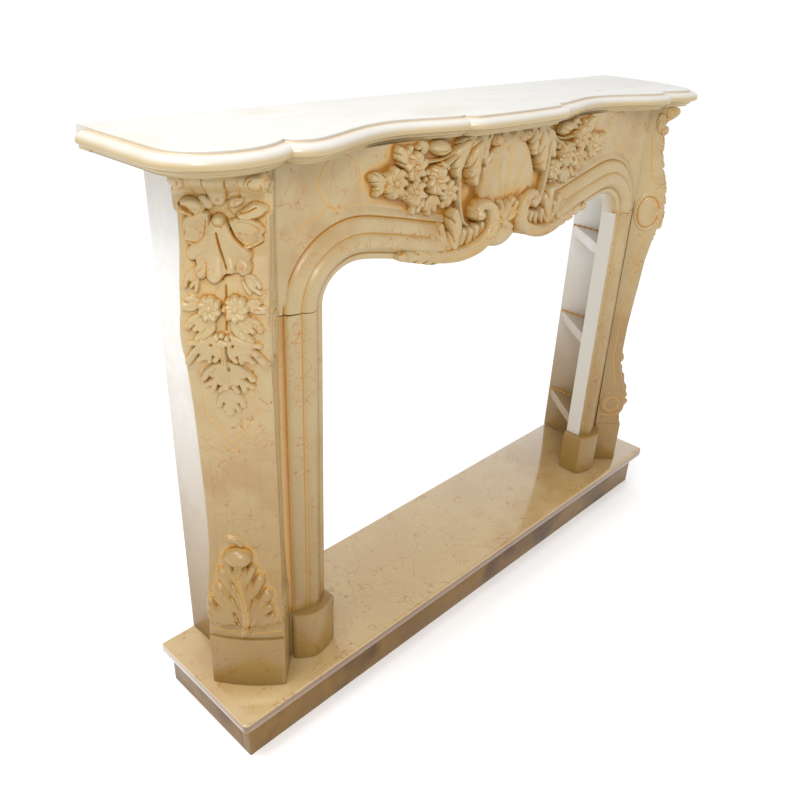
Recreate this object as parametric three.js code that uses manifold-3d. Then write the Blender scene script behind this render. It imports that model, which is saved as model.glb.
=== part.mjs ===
// Carved stone fireplace mantel in the Louis XV manner, standing on a raised hearth.
// Millimetres, +Z up, the front faces -Y, and X = 0 is the middle of the opening.
// The origin lies on the floor under the middle of the whole.
import * as THREE from 'three'
import { mergeVertices } from 'three/addons/utils/BufferGeometryUtils.js'
import Module from 'manifold-3d'

const wasm = await Module()
wasm.setup()

// Joints
const GAP = 0.3
const EMBED = 6
const WELD = 1e-4

// Heights, from the floor up
const HEARTH_HEIGHT = 121
const JAMB_HEIGHT = 784
const FRIEZE_HEIGHT = 257
const SHELF_THICKNESS = 38

// Hearth
const HEARTH_SLAB = 23
const HEARTH_CORNER = 10
const HEARTH_EDGE_EASE = 2
const HEARTH_SIDE_MARGIN = 22
const HEARTH_FRONT_MARGIN = 30
const RISER_THICKNESS = 28
const RISER_SET_IN = 22

// Opening and its arch
const OPENING_HALF = 498
const HAUNCH_RUN = 79
const HAUNCH_RISE = 65
const ARCH_FALL = 47
const ARCH_END = 200
const CUSP_X = 63
const CUSP_RISE = 31
const PENDANT_RISE = 19

// Front slabs
const FRIEZE_DEPTH = 216
const FRONT_THICKNESS = 34
const ARCH_NARROWING = 0.1

// Jamb foot block
const FOOT_BLOCK_HEIGHT = 121
const FOOT_BLOCK_EASE = 4

// Canted corner consoles
const CANT = THREE.MathUtils.degToRad(47)
const CONSOLE_CLEAR = 9.5
const CONSOLE_PROUD = 7.4
const CONSOLE_WIDTH = 140
const CONSOLE_BULGE = 8
const CONSOLE_PROJECTION = 83
const CONSOLE_FOOT_WIDTH = 150
const CONSOLE_FOOT_HEIGHT = 127
const CONSOLE_FOOT_PROJECTION = 76

// Sides and inner braces
const PANEL_THICKNESS = 25
const PANEL_SET_IN = 3
const BRACE_THICKNESS = 30
const BRACE_DROP = 106
const BRACE_SPACING = 268
const BRACE_BACK_SET = 5
const BRACE_REACH = 136

// Shelf
const SHELF_OVERHANG = 28
const SHELF_TAIL = 36
const SHELF_EDGE_PROJECTION = 21.5

// Sizes at which each carving was drawn, so that it keeps its proportions
const DRAWN_FRIEZE = 257
const DRAWN_OPENING = 498
const DRAWN_CONSOLE = 914
const DRAWN_WIDTH = 140
const DRAWN_PROJECTION = 83

// Levels
const jointZ = HEARTH_HEIGHT + JAMB_HEIGHT
const shelfBottom = jointZ + FRIEZE_HEIGHT
const shelfTop = shelfBottom + SHELF_THICKNESS
const footTop = HEARTH_HEIGHT + CONSOLE_FOOT_HEIGHT

// Section of the moulding round the opening: distance from the opening's edge,
// and projection beyond the frieze's face
const MOULDING = [
  [0, 9], [12, 10], [14, 8], [18, 15], [28, 23], [42, 25], [52, 16], [56, 17], [72, 14], [84, 4],
]
const MOULDING_WIDTH = MOULDING.at(-1)[0]
const MOULDING_LIP = [[88, 6], [98, -EMBED]]

// Front outline of the jamb's foot block, in the same terms
const FOOT_BLOCK = [[-13, 22], [-1, 31], [20, 40], [47, 43], [66, 37], [80, 27], [92, 15], [86, 8]]

// Edge of the shelf: projection beyond the top arris, and drop below the top
const SHELF_EDGE = [
  [0, 0], [0, 5], [9, 7], [SHELF_EDGE_PROJECTION, 14], [SHELF_EDGE_PROJECTION, 20],
  [9, 27], [3, 29], [-1, SHELF_THICKNESS],
]

// Front of a console: share of its height, and projection beyond its back, as drawn
const CONSOLE_FRONT = [
  [0, 71], [0.035, 69], [0.04, 66], [0.05, 76], [0.065, 79], [0.107, 70], [0.135, 62], [0.19, 46],
  [0.235, 45], [0.31, 46], [0.39, 50.5], [0.49, 55], [0.56, 59], [0.605, 66], [0.65, 74], [0.69, 83],
  [0.73, 80.5], [0.79, 71], [0.83, 60], [0.86, 48], [0.91, 43], [0.945, 45], [0.962, 54], [0.972, 67],
  [0.985, 71], [1, 66],
]
const consoleDeepening = CONSOLE_PROJECTION / DRAWN_PROJECTION
const consoleProfile = CONSOLE_FRONT.map(([share, out]) => [share, out * consoleDeepening])

// Plan of the console, worked out from the jamb that it stands beside
const consoleCorner = new THREE.Vector2(
  OPENING_HALF + MOULDING_WIDTH + CONSOLE_CLEAR,
  FRIEZE_DEPTH + CONSOLE_PROUD,
)
const consoleBack = Math.sin(CANT) * consoleCorner.x + Math.cos(CANT) * consoleCorner.y
const consoleInner = Math.cos(CANT) * consoleCorner.x - Math.sin(CANT) * consoleCorner.y
const consoleMiddle = consoleInner + CONSOLE_FOOT_WIDTH / 2

// A point of the canted frame as distance from the middle and depth from the wall
function fromCanted(along, out) {
  return new THREE.Vector2(
    Math.sin(CANT) * out + Math.cos(CANT) * along,
    Math.cos(CANT) * out - Math.sin(CANT) * along,
  )
}

// Distance from the middle at which the console's back plane lies, at a given depth
function mitreAt(depth, clearance = GAP) {
  return (consoleBack - clearance - Math.cos(CANT) * depth) / Math.sin(CANT)
}

const footFront = consoleBack + CONSOLE_FOOT_PROJECTION
const footOuterCorner = fromCanted(consoleInner + CONSOLE_FOOT_WIDTH, footFront)
const footInnerCorner = fromCanted(consoleInner, footFront)
const hearthHalf = footOuterCorner.x + HEARTH_SIDE_MARGIN
const hearthDepth = footInnerCorner.y + HEARTH_FRONT_MARGIN
const panelFace = fromCanted(consoleInner + CONSOLE_FOOT_WIDTH, consoleBack).x - PANEL_SET_IN
const panelInside = panelFace - PANEL_THICKNESS
const shelfHalf = footOuterCorner.x + SHELF_OVERHANG

// The wall plane lies so that the origin is under the middle of the whole
const wallY = (hearthDepth - SHELF_TAIL) / 2
const fromWall = (depth) => wallY - depth

// Colours of the stone
const CREAM = 0xd9c6a0
const PALE = 0xe9e2d2
const HONEY = 0xcdb488
const BROWN = 0x8f6f45

const mantel = new THREE.Group()

function addPiece(name, geometry, color, parent = mantel) {
  const material = new THREE.MeshStandardMaterial({ color, roughness: 0.45, metalness: 0 })
  const mesh = new THREE.Mesh(geometry, material)
  mesh.name = name
  parent.add(mesh)
  return mesh
}

// Closed shell through a row of rings that all have the same number of points
function loft(rings) {
  const size = rings[0].length
  const index = []
  for (let row = 0; row + 1 < rings.length; row++) {
    for (let i = 0; i < size; i++) {
      const a = row * size + i
      const b = row * size + (i + 1) % size
      index.push(a, b, a + size, b, b + size, a + size)
    }
  }
  const last = (rings.length - 1) * size
  capFaces(rings[0]).forEach(([a, b, c]) => index.push(a, c, b))
  capFaces(rings.at(-1)).forEach(([a, b, c]) => index.push(last + a, last + b, last + c))
  const geometry = new THREE.BufferGeometry().setFromPoints(rings.flat())
  geometry.setIndex(index)
  return facingOut(geometry)
}

// Triangles over a flat ring, turned the way the ring runs
function capFaces(ring) {
  const normal = new THREE.Vector3()
  ring.forEach((point, i) => {
    const next = ring[(i + 1) % ring.length]
    normal.add(new THREE.Vector3().crossVectors(point, next))
  })
  normal.normalize()
  const aside = Math.abs(normal.z) < 0.9 ? new THREE.Vector3(0, 0, 1) : new THREE.Vector3(1, 0, 0)
  const across = new THREE.Vector3().crossVectors(aside, normal).normalize()
  const up = new THREE.Vector3().crossVectors(normal, across)
  const flat = ring.map((point) => new THREE.Vector2(point.dot(across), point.dot(up)))
  return THREE.ShapeUtils.triangulateShape(flat, []).map((face) => {
    const [a, b, c] = face.map((i) => flat[i])
    const turn = (b.x - a.x) * (c.y - a.y) - (b.y - a.y) * (c.x - a.x)
    return turn > 0 ? face : [face[0], face[2], face[1]]
  })
}

// The same geometry with its faces turned outward
function facingOut(geometry) {
  const position = geometry.attributes.position
  const corner = (i) => new THREE.Vector3().fromBufferAttribute(position, geometry.index.getX(i))
  let volume = 0
  for (let i = 0; i < geometry.index.count; i += 3) {
    volume += corner(i).dot(corner(i + 1).cross(corner(i + 2)))
  }
  if (volume < 0) {
    geometry.setIndex(Array.from(geometry.index.array).reverse())
  }
  geometry.computeVertexNormals()
  return geometry
}

function mirrored(geometry) {
  const copy = geometry.clone().scale(-1, 1, 1)
  copy.setIndex(Array.from(geometry.index.array).reverse())
  return copy
}

function toSolid(geometry) {
  const bare = geometry.clone()
  bare.deleteAttribute('normal')
  bare.deleteAttribute('uv')
  const merged = mergeVertices(bare, WELD)
  const mesh = new wasm.Mesh({
    numProp: 3,
    vertProperties: new Float32Array(merged.attributes.position.array),
    triVerts: new Uint32Array(merged.index.array),
  })
  return new wasm.Manifold(mesh)
}

function toGeometry(solid) {
  const mesh = solid.getMesh()
  const geometry = new THREE.BufferGeometry()
  geometry.setAttribute('position', new THREE.BufferAttribute(mesh.vertProperties, 3))
  geometry.setIndex(new THREE.BufferAttribute(mesh.triVerts, 1))
  geometry.computeVertexNormals()
  return geometry
}

function joined(geometries) {
  const whole = geometries.map(toSolid).reduce((sum, next) => sum.add(next))
  return toGeometry(whole)
}

// Upright slab over a plan given as distances from the middle and depths from the wall
function upright(plan, bottom, top) {
  const shape = new THREE.Shape(plan.map(([x, depth]) => new THREE.Vector2(x, fromWall(depth))))
  const geometry = new THREE.ExtrudeGeometry(shape, { depth: top - bottom, bevelEnabled: false })
  geometry.translate(0, 0, bottom)
  geometry.deleteAttribute('normal')
  geometry.deleteAttribute('uv')
  const merged = mergeVertices(geometry, WELD)
  merged.computeVertexNormals()
  return merged
}

// Carving strokes, drawn on a surface by onto(across, up, out)
const LEAF = [[-1, -1], [-1, 0.35], [0, 1], [1, 0.35], [1, -1]]
const BLADE = [[-1.1, -1], [0, 1], [1.1, -1]]
const STEM = [[-1, -1], [-0.5, 1], [0.5, 1], [1, -1]]
const SCROLL = [[-1, -1], [-1, 0.75], [-0.4, 1], [0.4, 0.8], [1, 0.9], [1, -1]]

function stroke(onto, line, steps, halfWidth, rise, section) {
  const rings = []
  for (let i = 0; i <= steps; i++) {
    const t = i / steps
    const point = line.getPoint(t)
    const ahead = line.getTangent(t)
    const wide = halfWidth(t)
    const high = rise(t)
    rings.push(section.map(([side, up]) => onto(
      point.x - ahead.y * side * wide,
      point.y + ahead.x * side * wide,
      up < 0 ? -EMBED : up * high,
    )))
  }
  return loft(rings)
}

function leaf(onto, [x0, z0], [x1, z1], width, rise, bow = 0, lobes = 2) {
  const root = new THREE.Vector2(x0, z0)
  const tip = new THREE.Vector2(x1, z1)
  const along = tip.clone().sub(root)
  const middle = root.clone().add(tip).multiplyScalar(0.5)
  middle.add(new THREE.Vector2(-along.y, along.x).multiplyScalar(bow))
  const line = new THREE.QuadraticBezierCurve(root, middle, tip)
  const halfWidth = (t) => {
    const blade = 0.35 + 0.65 * Math.sin(Math.PI * Math.min(1, 0.08 + 1.05 * t) ** 0.85)
    const scallop = 0.87 - 0.13 * Math.cos(2 * Math.PI * lobes * t)
    const point = 1 - 0.8 * t ** 4
    return width / 2 * blade * scallop * point
  }
  const high = (t) => rise * (0.55 + 0.45 * Math.sin(Math.PI * t))
  return stroke(onto, line, Math.max(3, 2 * lobes), halfWidth, high, lobes > 1 ? LEAF : BLADE)
}

function stem(onto, points, halfWidth, rise) {
  const line = new THREE.SplineCurve(points.map(([x, z]) => new THREE.Vector2(x, z)))
  return stroke(onto, line, points.length + 1, () => halfWidth, () => rise, STEM)
}

function flower(onto, [x, z], radius, rise, petals = 5) {
  const ring = (share, height, notch) => Array.from({ length: 2 * petals }, (_, i) => {
    const angle = Math.PI * i / petals
    const reach = radius * share * (i % 2 ? notch : 1)
    return onto(x + reach * Math.cos(angle), z + reach * Math.sin(angle), height)
  })
  return loft([ring(1, -EMBED, 0.7), ring(1, rise * 0.55, 0.7), ring(0.3, rise, 1)])
}

function berry(onto, [x, z], radiusX, radiusZ, rise) {
  const ball = new THREE.OctahedronGeometry(1, 1)
  const position = ball.attributes.position
  for (let i = 0; i < position.count; i++) {
    const placed = onto(
      x + radiusX * position.getX(i),
      z + radiusZ * position.getZ(i),
      rise * position.getY(i) - (1 - position.getY(i)),
    )
    position.setXYZ(i, placed.x, placed.y, placed.z)
  }
  ball.deleteAttribute('normal')
  ball.deleteAttribute('uv')
  return facingOut(mergeVertices(ball, WELD))
}

// Hearth
function buildHearth() {
  const slab = new THREE.Shape()
  const front = fromWall(hearthDepth)
  slab.moveTo(-hearthHalf, wallY)
  slab.lineTo(-hearthHalf, front + HEARTH_CORNER)
  slab.absarc(-hearthHalf + HEARTH_CORNER, front + HEARTH_CORNER, HEARTH_CORNER, Math.PI, 1.5 * Math.PI)
  slab.absarc(hearthHalf - HEARTH_CORNER, front + HEARTH_CORNER, HEARTH_CORNER, -0.5 * Math.PI, 0)
  slab.lineTo(hearthHalf, wallY)
  const outline = slab.getPoints(4)
  const eased = outline.map((point) => new THREE.Vector2(
    point.x * (1 - HEARTH_EDGE_EASE / hearthHalf),
    Math.min(wallY, point.y + HEARTH_EDGE_EASE * (wallY - point.y) / hearthDepth),
  ))
  const bottom = HEARTH_HEIGHT - HEARTH_SLAB
  const level = (points, z) => points.map((point) => new THREE.Vector3(point.x, point.y, z))
  addPiece('hearth_slab', loft([
    level(outline, bottom),
    level(outline, HEARTH_HEIGHT - HEARTH_EDGE_EASE),
    level(eased, HEARTH_HEIGHT),
  ]), HONEY)

  const riserTop = bottom - GAP
  const riserHalf = hearthHalf - RISER_SET_IN
  const riserFront = hearthDepth - RISER_SET_IN
  const sideFront = riserFront - RISER_THICKNESS - GAP
  addPiece('hearth_riser_front', upright([
    [-riserHalf, riserFront], [riserHalf, riserFront],
    [riserHalf, riserFront - RISER_THICKNESS], [-riserHalf, riserFront - RISER_THICKNESS],
  ], 0, riserTop), BROWN)
  for (const [name, side] of [['left', -1], ['right', 1]]) {
    addPiece(`hearth_riser_${name}`, upright([
      [side * riserHalf, sideFront], [side * riserHalf, 0],
      [side * (riserHalf - RISER_THICKNESS), 0], [side * (riserHalf - RISER_THICKNESS), sideFront],
    ], 0, riserTop), BROWN)
  }
}

// Jambs: the moulded upright and its foot block, cut from one stone
function jambGeometry() {
  const back = FRIEZE_DEPTH - FRONT_THICKNESS
  const mitre = [[mitreAt(FRIEZE_DEPTH), FRIEZE_DEPTH], [mitreAt(back), back]]
  const face = (outline) => outline.map(([out, proud]) => [OPENING_HALF + out, FRIEZE_DEPTH + proud])
  const section = [[OPENING_HALF, back], ...face(MOULDING), ...mitre]
  const shaft = upright(section, HEARTH_HEIGHT + GAP, jointZ - GAP)

  const blockTop = HEARTH_HEIGHT + FOOT_BLOCK_HEIGHT
  const block = [[OPENING_HALF + FOOT_BLOCK[0][0], back], ...face(FOOT_BLOCK), ...mitre]
  const shrunk = block.map(([x, depth]) => [
    Math.max(x, OPENING_HALF + FOOT_BLOCK[0][0] + FOOT_BLOCK_EASE),
    depth > FRIEZE_DEPTH ? depth - FOOT_BLOCK_EASE : depth,
  ])
  const level = (plan, z) => plan.map(([x, depth]) => new THREE.Vector3(x, fromWall(depth), z))
  const foot = loft([
    level(block, HEARTH_HEIGHT + GAP),
    level(block, blockTop - FOOT_BLOCK_EASE),
    level(shrunk, blockTop),
  ])
  return joined([shaft, foot])
}

// Arch of the opening, from the right jamb's joint up to where the scroll covers it
function archLine() {
  const crown = jointZ + HAUNCH_RISE
  const crownX = OPENING_HALF - HAUNCH_RUN
  const run = crownX - ARCH_END
  const line = new THREE.CurvePath()
  line.add(new THREE.EllipseCurve(crownX, jointZ, HAUNCH_RUN, HAUNCH_RISE, 0, Math.PI / 2))
  line.add(new THREE.CubicBezierCurve(
    new THREE.Vector2(crownX, crown),
    new THREE.Vector2(crownX - 0.2 * run, crown),
    new THREE.Vector2(ARCH_END + 0.32 * run, crown - 0.66 * ARCH_FALL),
    new THREE.Vector2(ARCH_END, crown - ARCH_FALL),
  ))
  return line
}

function friezeSlab(line, steps) {
  const arch = Array.from({ length: steps + 1 }, (_, i) => line.getPoint(i / steps))
  const lower = [
    ...arch, new THREE.Vector2(CUSP_X, jointZ + CUSP_RISE), new THREE.Vector2(0, jointZ + PENDANT_RISE),
  ]
  const ring = (depth) => {
    const end = mitreAt(depth)
    const right = [new THREE.Vector2(end, shelfBottom - GAP), new THREE.Vector2(end, jointZ), ...lower]
    const left = right.slice(0, -1).reverse().map((point) => new THREE.Vector2(-point.x, point.y))
    return [...right, ...left].map((point) => new THREE.Vector3(point.x, fromWall(depth), point.y))
  }
  return loft([ring(FRIEZE_DEPTH - FRONT_THICKNESS), ring(FRIEZE_DEPTH)])
}

function archMoulding(line, steps) {
  const section = [[0, -EMBED], ...MOULDING, ...MOULDING_LIP]
  const rings = []
  for (let i = 0; i <= steps; i++) {
    const t = i / steps
    const edge = line.getPoint(t)
    const ahead = line.getTangent(t)
    const narrow = 1 - ARCH_NARROWING * Math.min(1, 2 * t)
    rings.push(section.map(([out, proud]) => new THREE.Vector3(
      edge.x + ahead.y * out * narrow,
      fromWall(FRIEZE_DEPTH + proud),
      edge.y - ahead.x * out * narrow,
    )))
  }
  return loft(rings)
}

// Shell fan: flutes between ribs, spread over a half circle
function shell(onto, [x, z], inner, outer, ribs, rise) {
  const rings = []
  for (let i = 0; i <= 2 * ribs; i++) {
    const angle = Math.PI * (0.06 + 0.88 * i / (2 * ribs))
    const crest = i % 2
    const rim = outer * (crest ? 1 : 0.92)
    const section = [
      [inner, -EMBED], [inner, 0.5 * rise], [0.6 * rim, (crest ? 0.75 : 0.4) * rise],
      [rim, (crest ? 1 : 0.7) * rise], [rim, -EMBED],
    ]
    rings.push(section.map(([reach, out]) => onto(
      x + reach * Math.cos(angle), z + reach * Math.sin(angle), out,
    )))
  }
  return loft(rings)
}

// Half of the frieze's carving, drawn for the right side and repeated on the left
function friezeHalfCarving(side) {
  const onto = (x, z, out) => new THREE.Vector3(
    side * x * OPENING_HALF / DRAWN_OPENING,
    fromWall(FRIEZE_DEPTH + out),
    jointZ + z * FRIEZE_HEIGHT / DRAWN_FRIEZE,
  )
  const scrollLine = new THREE.SplineCurve([
    [94, 106], [84, 121], [62, 116], [50, 92], [54, 62], [76, 38],
    [112, 27], [158, 23], [208, 28], [258, 41], [306, 57],
  ].map(([x, z]) => new THREE.Vector2(x, z)))
  const scrollWidth = (t) => 4 + 12 * Math.sin(Math.PI * Math.min(0.5, 1.6 * t + 0.08)) * (1 - t ** 5)
  const scrollRise = (t) => 16 + 16 * Math.sin(Math.PI * Math.min(1, t + 0.1))
  return [
    stroke(onto, scrollLine, 17, scrollWidth, scrollRise, SCROLL),
    berry(onto, [84, 103], 11, 11, 30),
    // Leaves that grow from the scroll
    leaf(onto, [262, 40], [316, 56], 26, 16, 0.1),
    leaf(onto, [228, 44], [266, 68], 22, 14, -0.1, 1),
    leaf(onto, [194, 42], [232, 74], 24, 15, -0.1, 1),
    leaf(onto, [152, 56], [176, 120], 40, 24, -0.15, 3),
    leaf(onto, [164, 60], [212, 97], 30, 20, -0.1),
    leaf(onto, [142, 40], [128, 72], 20, 18, 0.1, 1),
    leaf(onto, [112, 42], [100, 76], 22, 18, 0.1, 1),
    // Acanthus beside the shell
    leaf(onto, [88, 246], [116, 164], 46, 30, 0.12, 3),
    leaf(onto, [112, 240], [166, 184], 34, 24, 0.1, 3),
    stem(onto, [[98, 246], [150, 226], [204, 210], [250, 196]], 5, 12),
    stem(onto, [[152, 205], [147, 150], [138, 108], [112, 86]], 4.5, 12),
    // Spray of flowers, buds and leaves
    leaf(onto, [190, 226], [246, 246], 30, 18, 0.2, 1),
    flower(onto, [218, 188], 27, 18),
    flower(onto, [274, 214], 25, 17),
    flower(onto, [278, 170], 23, 15),
    flower(onto, [320, 192], 27, 17),
    flower(onto, [182, 156], 22, 14),
    leaf(onto, [334, 206], [376, 206], 30, 14, 0.05, 1),
    leaf(onto, [296, 220], [330, 246], 30, 14, 0.05, 1),
    leaf(onto, [250, 164], [276, 126], 22, 12, 0.15, 1),
    leaf(onto, [232, 160], [224, 124], 22, 12, -0.15, 1),
  ]
}

function friezeCentreCarving() {
  const onto = (x, z, out) => new THREE.Vector3(
    x * OPENING_HALF / DRAWN_OPENING,
    fromWall(FRIEZE_DEPTH + out),
    jointZ + z * FRIEZE_HEIGHT / DRAWN_FRIEZE,
  )
  return [
    shell(onto, [2, 96], 24, 112, 7, 22),
    // Small palmette between the scrolls, over the pendant
    leaf(onto, [0, 84], [0, 116], 26, 22, 0, 1),
    leaf(onto, [-4, 82], [-30, 104], 22, 20, -0.1, 1),
    leaf(onto, [4, 82], [30, 104], 22, 20, 0.1, 1),
    leaf(onto, [0, 92], [0, 13], 92, 20, 0, 1),
    // Curled lip above the shell
    berry(onto, [-22, 232], 18, 12, 22),
    berry(onto, [30, 236], 16, 11, 20),
    berry(onto, [76, 230], 16, 13, 24),
  ]
}

// Incised ring near each end of the frieze
function roundelCut(side) {
  const ROUNDEL_RADIUS = 46
  const ROUNDEL_LINE = 2.5
  const ring = new THREE.TorusGeometry(ROUNDEL_RADIUS, ROUNDEL_LINE, 4, 22)
  ring.rotateX(Math.PI / 2)
  ring.translate(
    side * 450 * OPENING_HALF / DRAWN_OPENING,
    fromWall(FRIEZE_DEPTH),
    jointZ + 205 * FRIEZE_HEIGHT / DRAWN_FRIEZE,
  )
  return ring
}

function friezeGeometry() {
  const ARCH_STEPS = 12
  const line = archLine()
  const slab = friezeSlab(line, ARCH_STEPS)
  const moulding = archMoulding(line, ARCH_STEPS)
  const carving = [...friezeHalfCarving(1), ...friezeHalfCarving(-1), ...friezeCentreCarving()]
  let whole = toSolid(slab)
  for (const side of [-1, 1]) {
    whole = whole.subtract(toSolid(roundelCut(side)))
  }
  for (const stone of [moulding, mirrored(moulding), ...carving]) {
    whole = whole.add(toSolid(stone))
  }
  return toGeometry(whole)
}

// Console: projection of the front at a share of the height
function consoleFront(share) {
  const upper = consoleProfile.findIndex(([at]) => at >= share)
  if (upper <= 0) {
    return consoleProfile[0][1]
  }
  const [lowShare, low] = consoleProfile[upper - 1]
  const [highShare, high] = consoleProfile[upper]
  return THREE.MathUtils.mapLinear(share, lowShare, highShare, low, high)
}

function bulge(x, halfWidth) {
  return CONSOLE_BULGE * (1 - Math.min(1, Math.abs(x) / halfWidth) ** 2)
}

// The console stands on its foot block, its back on the plane Y = -consoleBack
function consoleGeometry(side) {
  const bottom = footTop + GAP
  const top = shelfBottom - GAP
  const height = top - bottom
  const half = CONSOLE_WIDTH / 2
  const flare = (CONSOLE_FOOT_WIDTH - CONSOLE_WIDTH) / 2
  const FRONT_POINTS = 4
  const rings = consoleProfile.map(([share, out]) => {
    const z = bottom + share * height
    const wide = half + flare * (1 - THREE.MathUtils.smoothstep(share, 0, 0.16))
    const ring = [new THREE.Vector3(-wide, -consoleBack, z)]
    for (let i = 0; i <= FRONT_POINTS; i++) {
      const x = wide * (2 * i / FRONT_POINTS - 1)
      ring.push(new THREE.Vector3(x, -consoleBack - out - bulge(x, wide), z))
    }
    ring.push(new THREE.Vector3(wide, -consoleBack, z))
    return ring
  })

  // Oval boss on both sides, the lower volute and the roll under the shelf
  const roll = (share, out, radiusOut, radiusUp, proud) => {
    const drum = new THREE.CylinderGeometry(1, 1, 2, 12)
    drum.rotateZ(Math.PI / 2)
    drum.scale(half + proud, radiusOut * consoleDeepening, radiusUp * height / DRAWN_CONSOLE)
    drum.translate(0, -consoleBack - out * consoleDeepening, bottom + share * height)
    drum.deleteAttribute('normal')
    drum.deleteAttribute('uv')
    return mergeVertices(drum, WELD)
  }

  const onto = (x, z, out) => {
    const share = z / DRAWN_CONSOLE
    const across = x * CONSOLE_WIDTH / DRAWN_WIDTH
    const surface = consoleBack + consoleFront(share) + bulge(across, half)
    return new THREE.Vector3(side * across, -surface - out, bottom + share * height)
  }
  const pair = (root, tip, ...rest) => [
    leaf(onto, root, tip, ...rest),
    leaf(onto, [-root[0], root[1]], [-tip[0], tip[1]], rest[0], rest[1], -(rest[2] ?? 0), rest[3]),
  ]
  const carving = [
    // Tongue and the large leaf under the scroll
    stem(onto, [[0, 898], [0, 876], [0, 854]], 15, 9),
    leaf(onto, [0, 862], [-3, 738], 34, 15),
    ...pair([8, 862], [50, 806], 34, 15, 0.1, 1),
    ...pair([6, 830], [36, 756], 28, 12, 0.1, 1),
    // Daisies, berries and curled leaves
    flower(onto, [-20, 702], 19, 10),
    flower(onto, [21, 704], 19, 10),
    berry(onto, [-2, 655], 11, 11, 11),
    ...pair([10, 660], [60, 602], 28, 13, 0.12, 1),
    stem(onto, [[-2, 640], [-2, 600], [-2, 560]], 6, 8),
    ...pair([6, 600], [38, 564], 22, 11, 0.1, 1),
    leaf(onto, [-2, 570], [-2, 500], 34, 10, 0, 1),
    // Acanthus that climbs from the foot to a curled tip
    berry(onto, [0, 178], 26, 16, 17),
    stem(onto, [[-2, 172], [-6, 130], [6, 82], [0, 20]], 6, 12),
    ...pair([4, 150], [40, 142], 24, 12, 0.2, 1),
    ...pair([6, 100], [56, 98], 34, 15, 0.25, 1),
    ...pair([6, 52], [54, 58], 32, 13, 0.2, 1),
    ...pair([8, 22], [56, 24], 22, 9, 0.15, 1),
  ]
  return joined([
    loft(rings),
    roll(0.71, 39, 37, 52, 4), roll(0.71, 38, 25, 36, 7), roll(0.078, 38, 35, 36, 4),
    roll(0.982, 54, 13, 13, 5),
    ...carving,
  ])
}

function consoleFootGeometry() {
  const half = CONSOLE_FOOT_WIDTH / 2
  const FRONT_POINTS = 8
  const plan = [[-half, -consoleBack]]
  for (let i = 0; i <= FRONT_POINTS; i++) {
    const x = half * (2 * i / FRONT_POINTS - 1)
    plan.push([x, -footFront - bulge(x, half)])
  }
  plan.push([half, -consoleBack])
  const level = (z) => plan.map(([x, y]) => new THREE.Vector3(x, y, z))
  return loft([level(HEARTH_HEIGHT + GAP), level(footTop)])
}

// Side panels run from the wall to the console's back, where they are mitred
function panelGeometry() {
  const frontAt = (x) => (consoleBack - GAP - Math.sin(CANT) * x) / Math.cos(CANT)
  return upright([
    [panelFace, 0], [panelFace, frontAt(panelFace)],
    [panelInside, frontAt(panelInside)], [panelInside, 0],
  ], HEARTH_HEIGHT + GAP, shelfBottom - GAP)
}

// Triangular brace in the corner between the side panel and the jamb's back
function braceGeometry(top) {
  const front = FRIEZE_DEPTH - FRONT_THICKNESS - GAP
  const face = panelInside - GAP
  const mitreDepth = (consoleBack - GAP - Math.sin(CANT) * face) / Math.cos(CANT)
  return upright([
    [face, BRACE_BACK_SET], [face, mitreDepth - GAP],
    [mitreAt(front, 2 * GAP), front], [face - BRACE_REACH, front],
  ], top - BRACE_THICKNESS, top)
}

// Shelf: lobes of its front edge for one half, as distance from the middle and depth;
// the right corner is cut rounder than the left
function shelfLobes(side) {
  const at = (share, proud) => new THREE.Vector2(share * shelfHalf, FRIEZE_DEPTH + proud)
  const lobe = (...points) => {
    const line = new THREE.CurvePath()
    for (let i = 0; i + 3 < points.length; i += 3) {
      line.add(new THREE.CubicBezierCurve(...points.slice(i, i + 4)))
    }
    return line
  }
  const turn = side > 0
    ? [at(1, -176), at(0.994, -104), at(0.94, 54), at(0.869, 54)]
    : [at(1, -31), at(1, 26), at(0.945, 54), at(0.869, 54)]
  const corner = lobe(...turn, at(0.82, 54), at(0.778, 40), at(0.738, 14))
  const middle = lobe(
    at(0.757, 8), at(0.748, 44), at(0.716, 54), at(0.676, 46),
    at(0.605, 32), at(0.515, -9), at(0.42, -9),
    at(0.345, -9), at(0.27, 16), at(0.215, 19), at(0.198, 20), at(0.186, 12), at(0.182, -2),
  )
  const centre = lobe(
    at(0.208, -6), at(0.196, 14), at(0.19, 36), at(0.165, 38), at(0.11, 40), at(0.05, 42), at(0, 42),
  )
  return [corner, middle, centre]
}

function offsetPoint(line, t, distance) {
  const ahead = line.getTangent(t)
  return line.getPoint(t).add(new THREE.Vector2(ahead.y, -ahead.x).multiplyScalar(distance))
}

// Where the offset edges of two neighbouring lobes cross, as a place on each
function crossing(first, second, distance) {
  const STEPS = 60
  const places = Array.from({ length: STEPS + 1 }, (_, i) => i / STEPS)
  const trace = (line) => places.map((t) => offsetPoint(line, t, distance))
  const a = trace(first)
  const b = trace(second)
  for (let i = STEPS - 1; i >= 0; i--) {
    for (let j = 0; j < STEPS; j++) {
      const u = a[i + 1].clone().sub(a[i])
      const v = b[j + 1].clone().sub(b[j])
      const w = b[j].clone().sub(a[i])
      const turn = u.cross(v)
      const s = w.cross(v) / turn
      const r = w.cross(u) / turn
      if (s >= 0 && s <= 1 && r >= 0 && r <= 1) {
        return [(i + s) / STEPS, (j + r) / STEPS]
      }
    }
  }
  return [1, 0]
}

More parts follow.
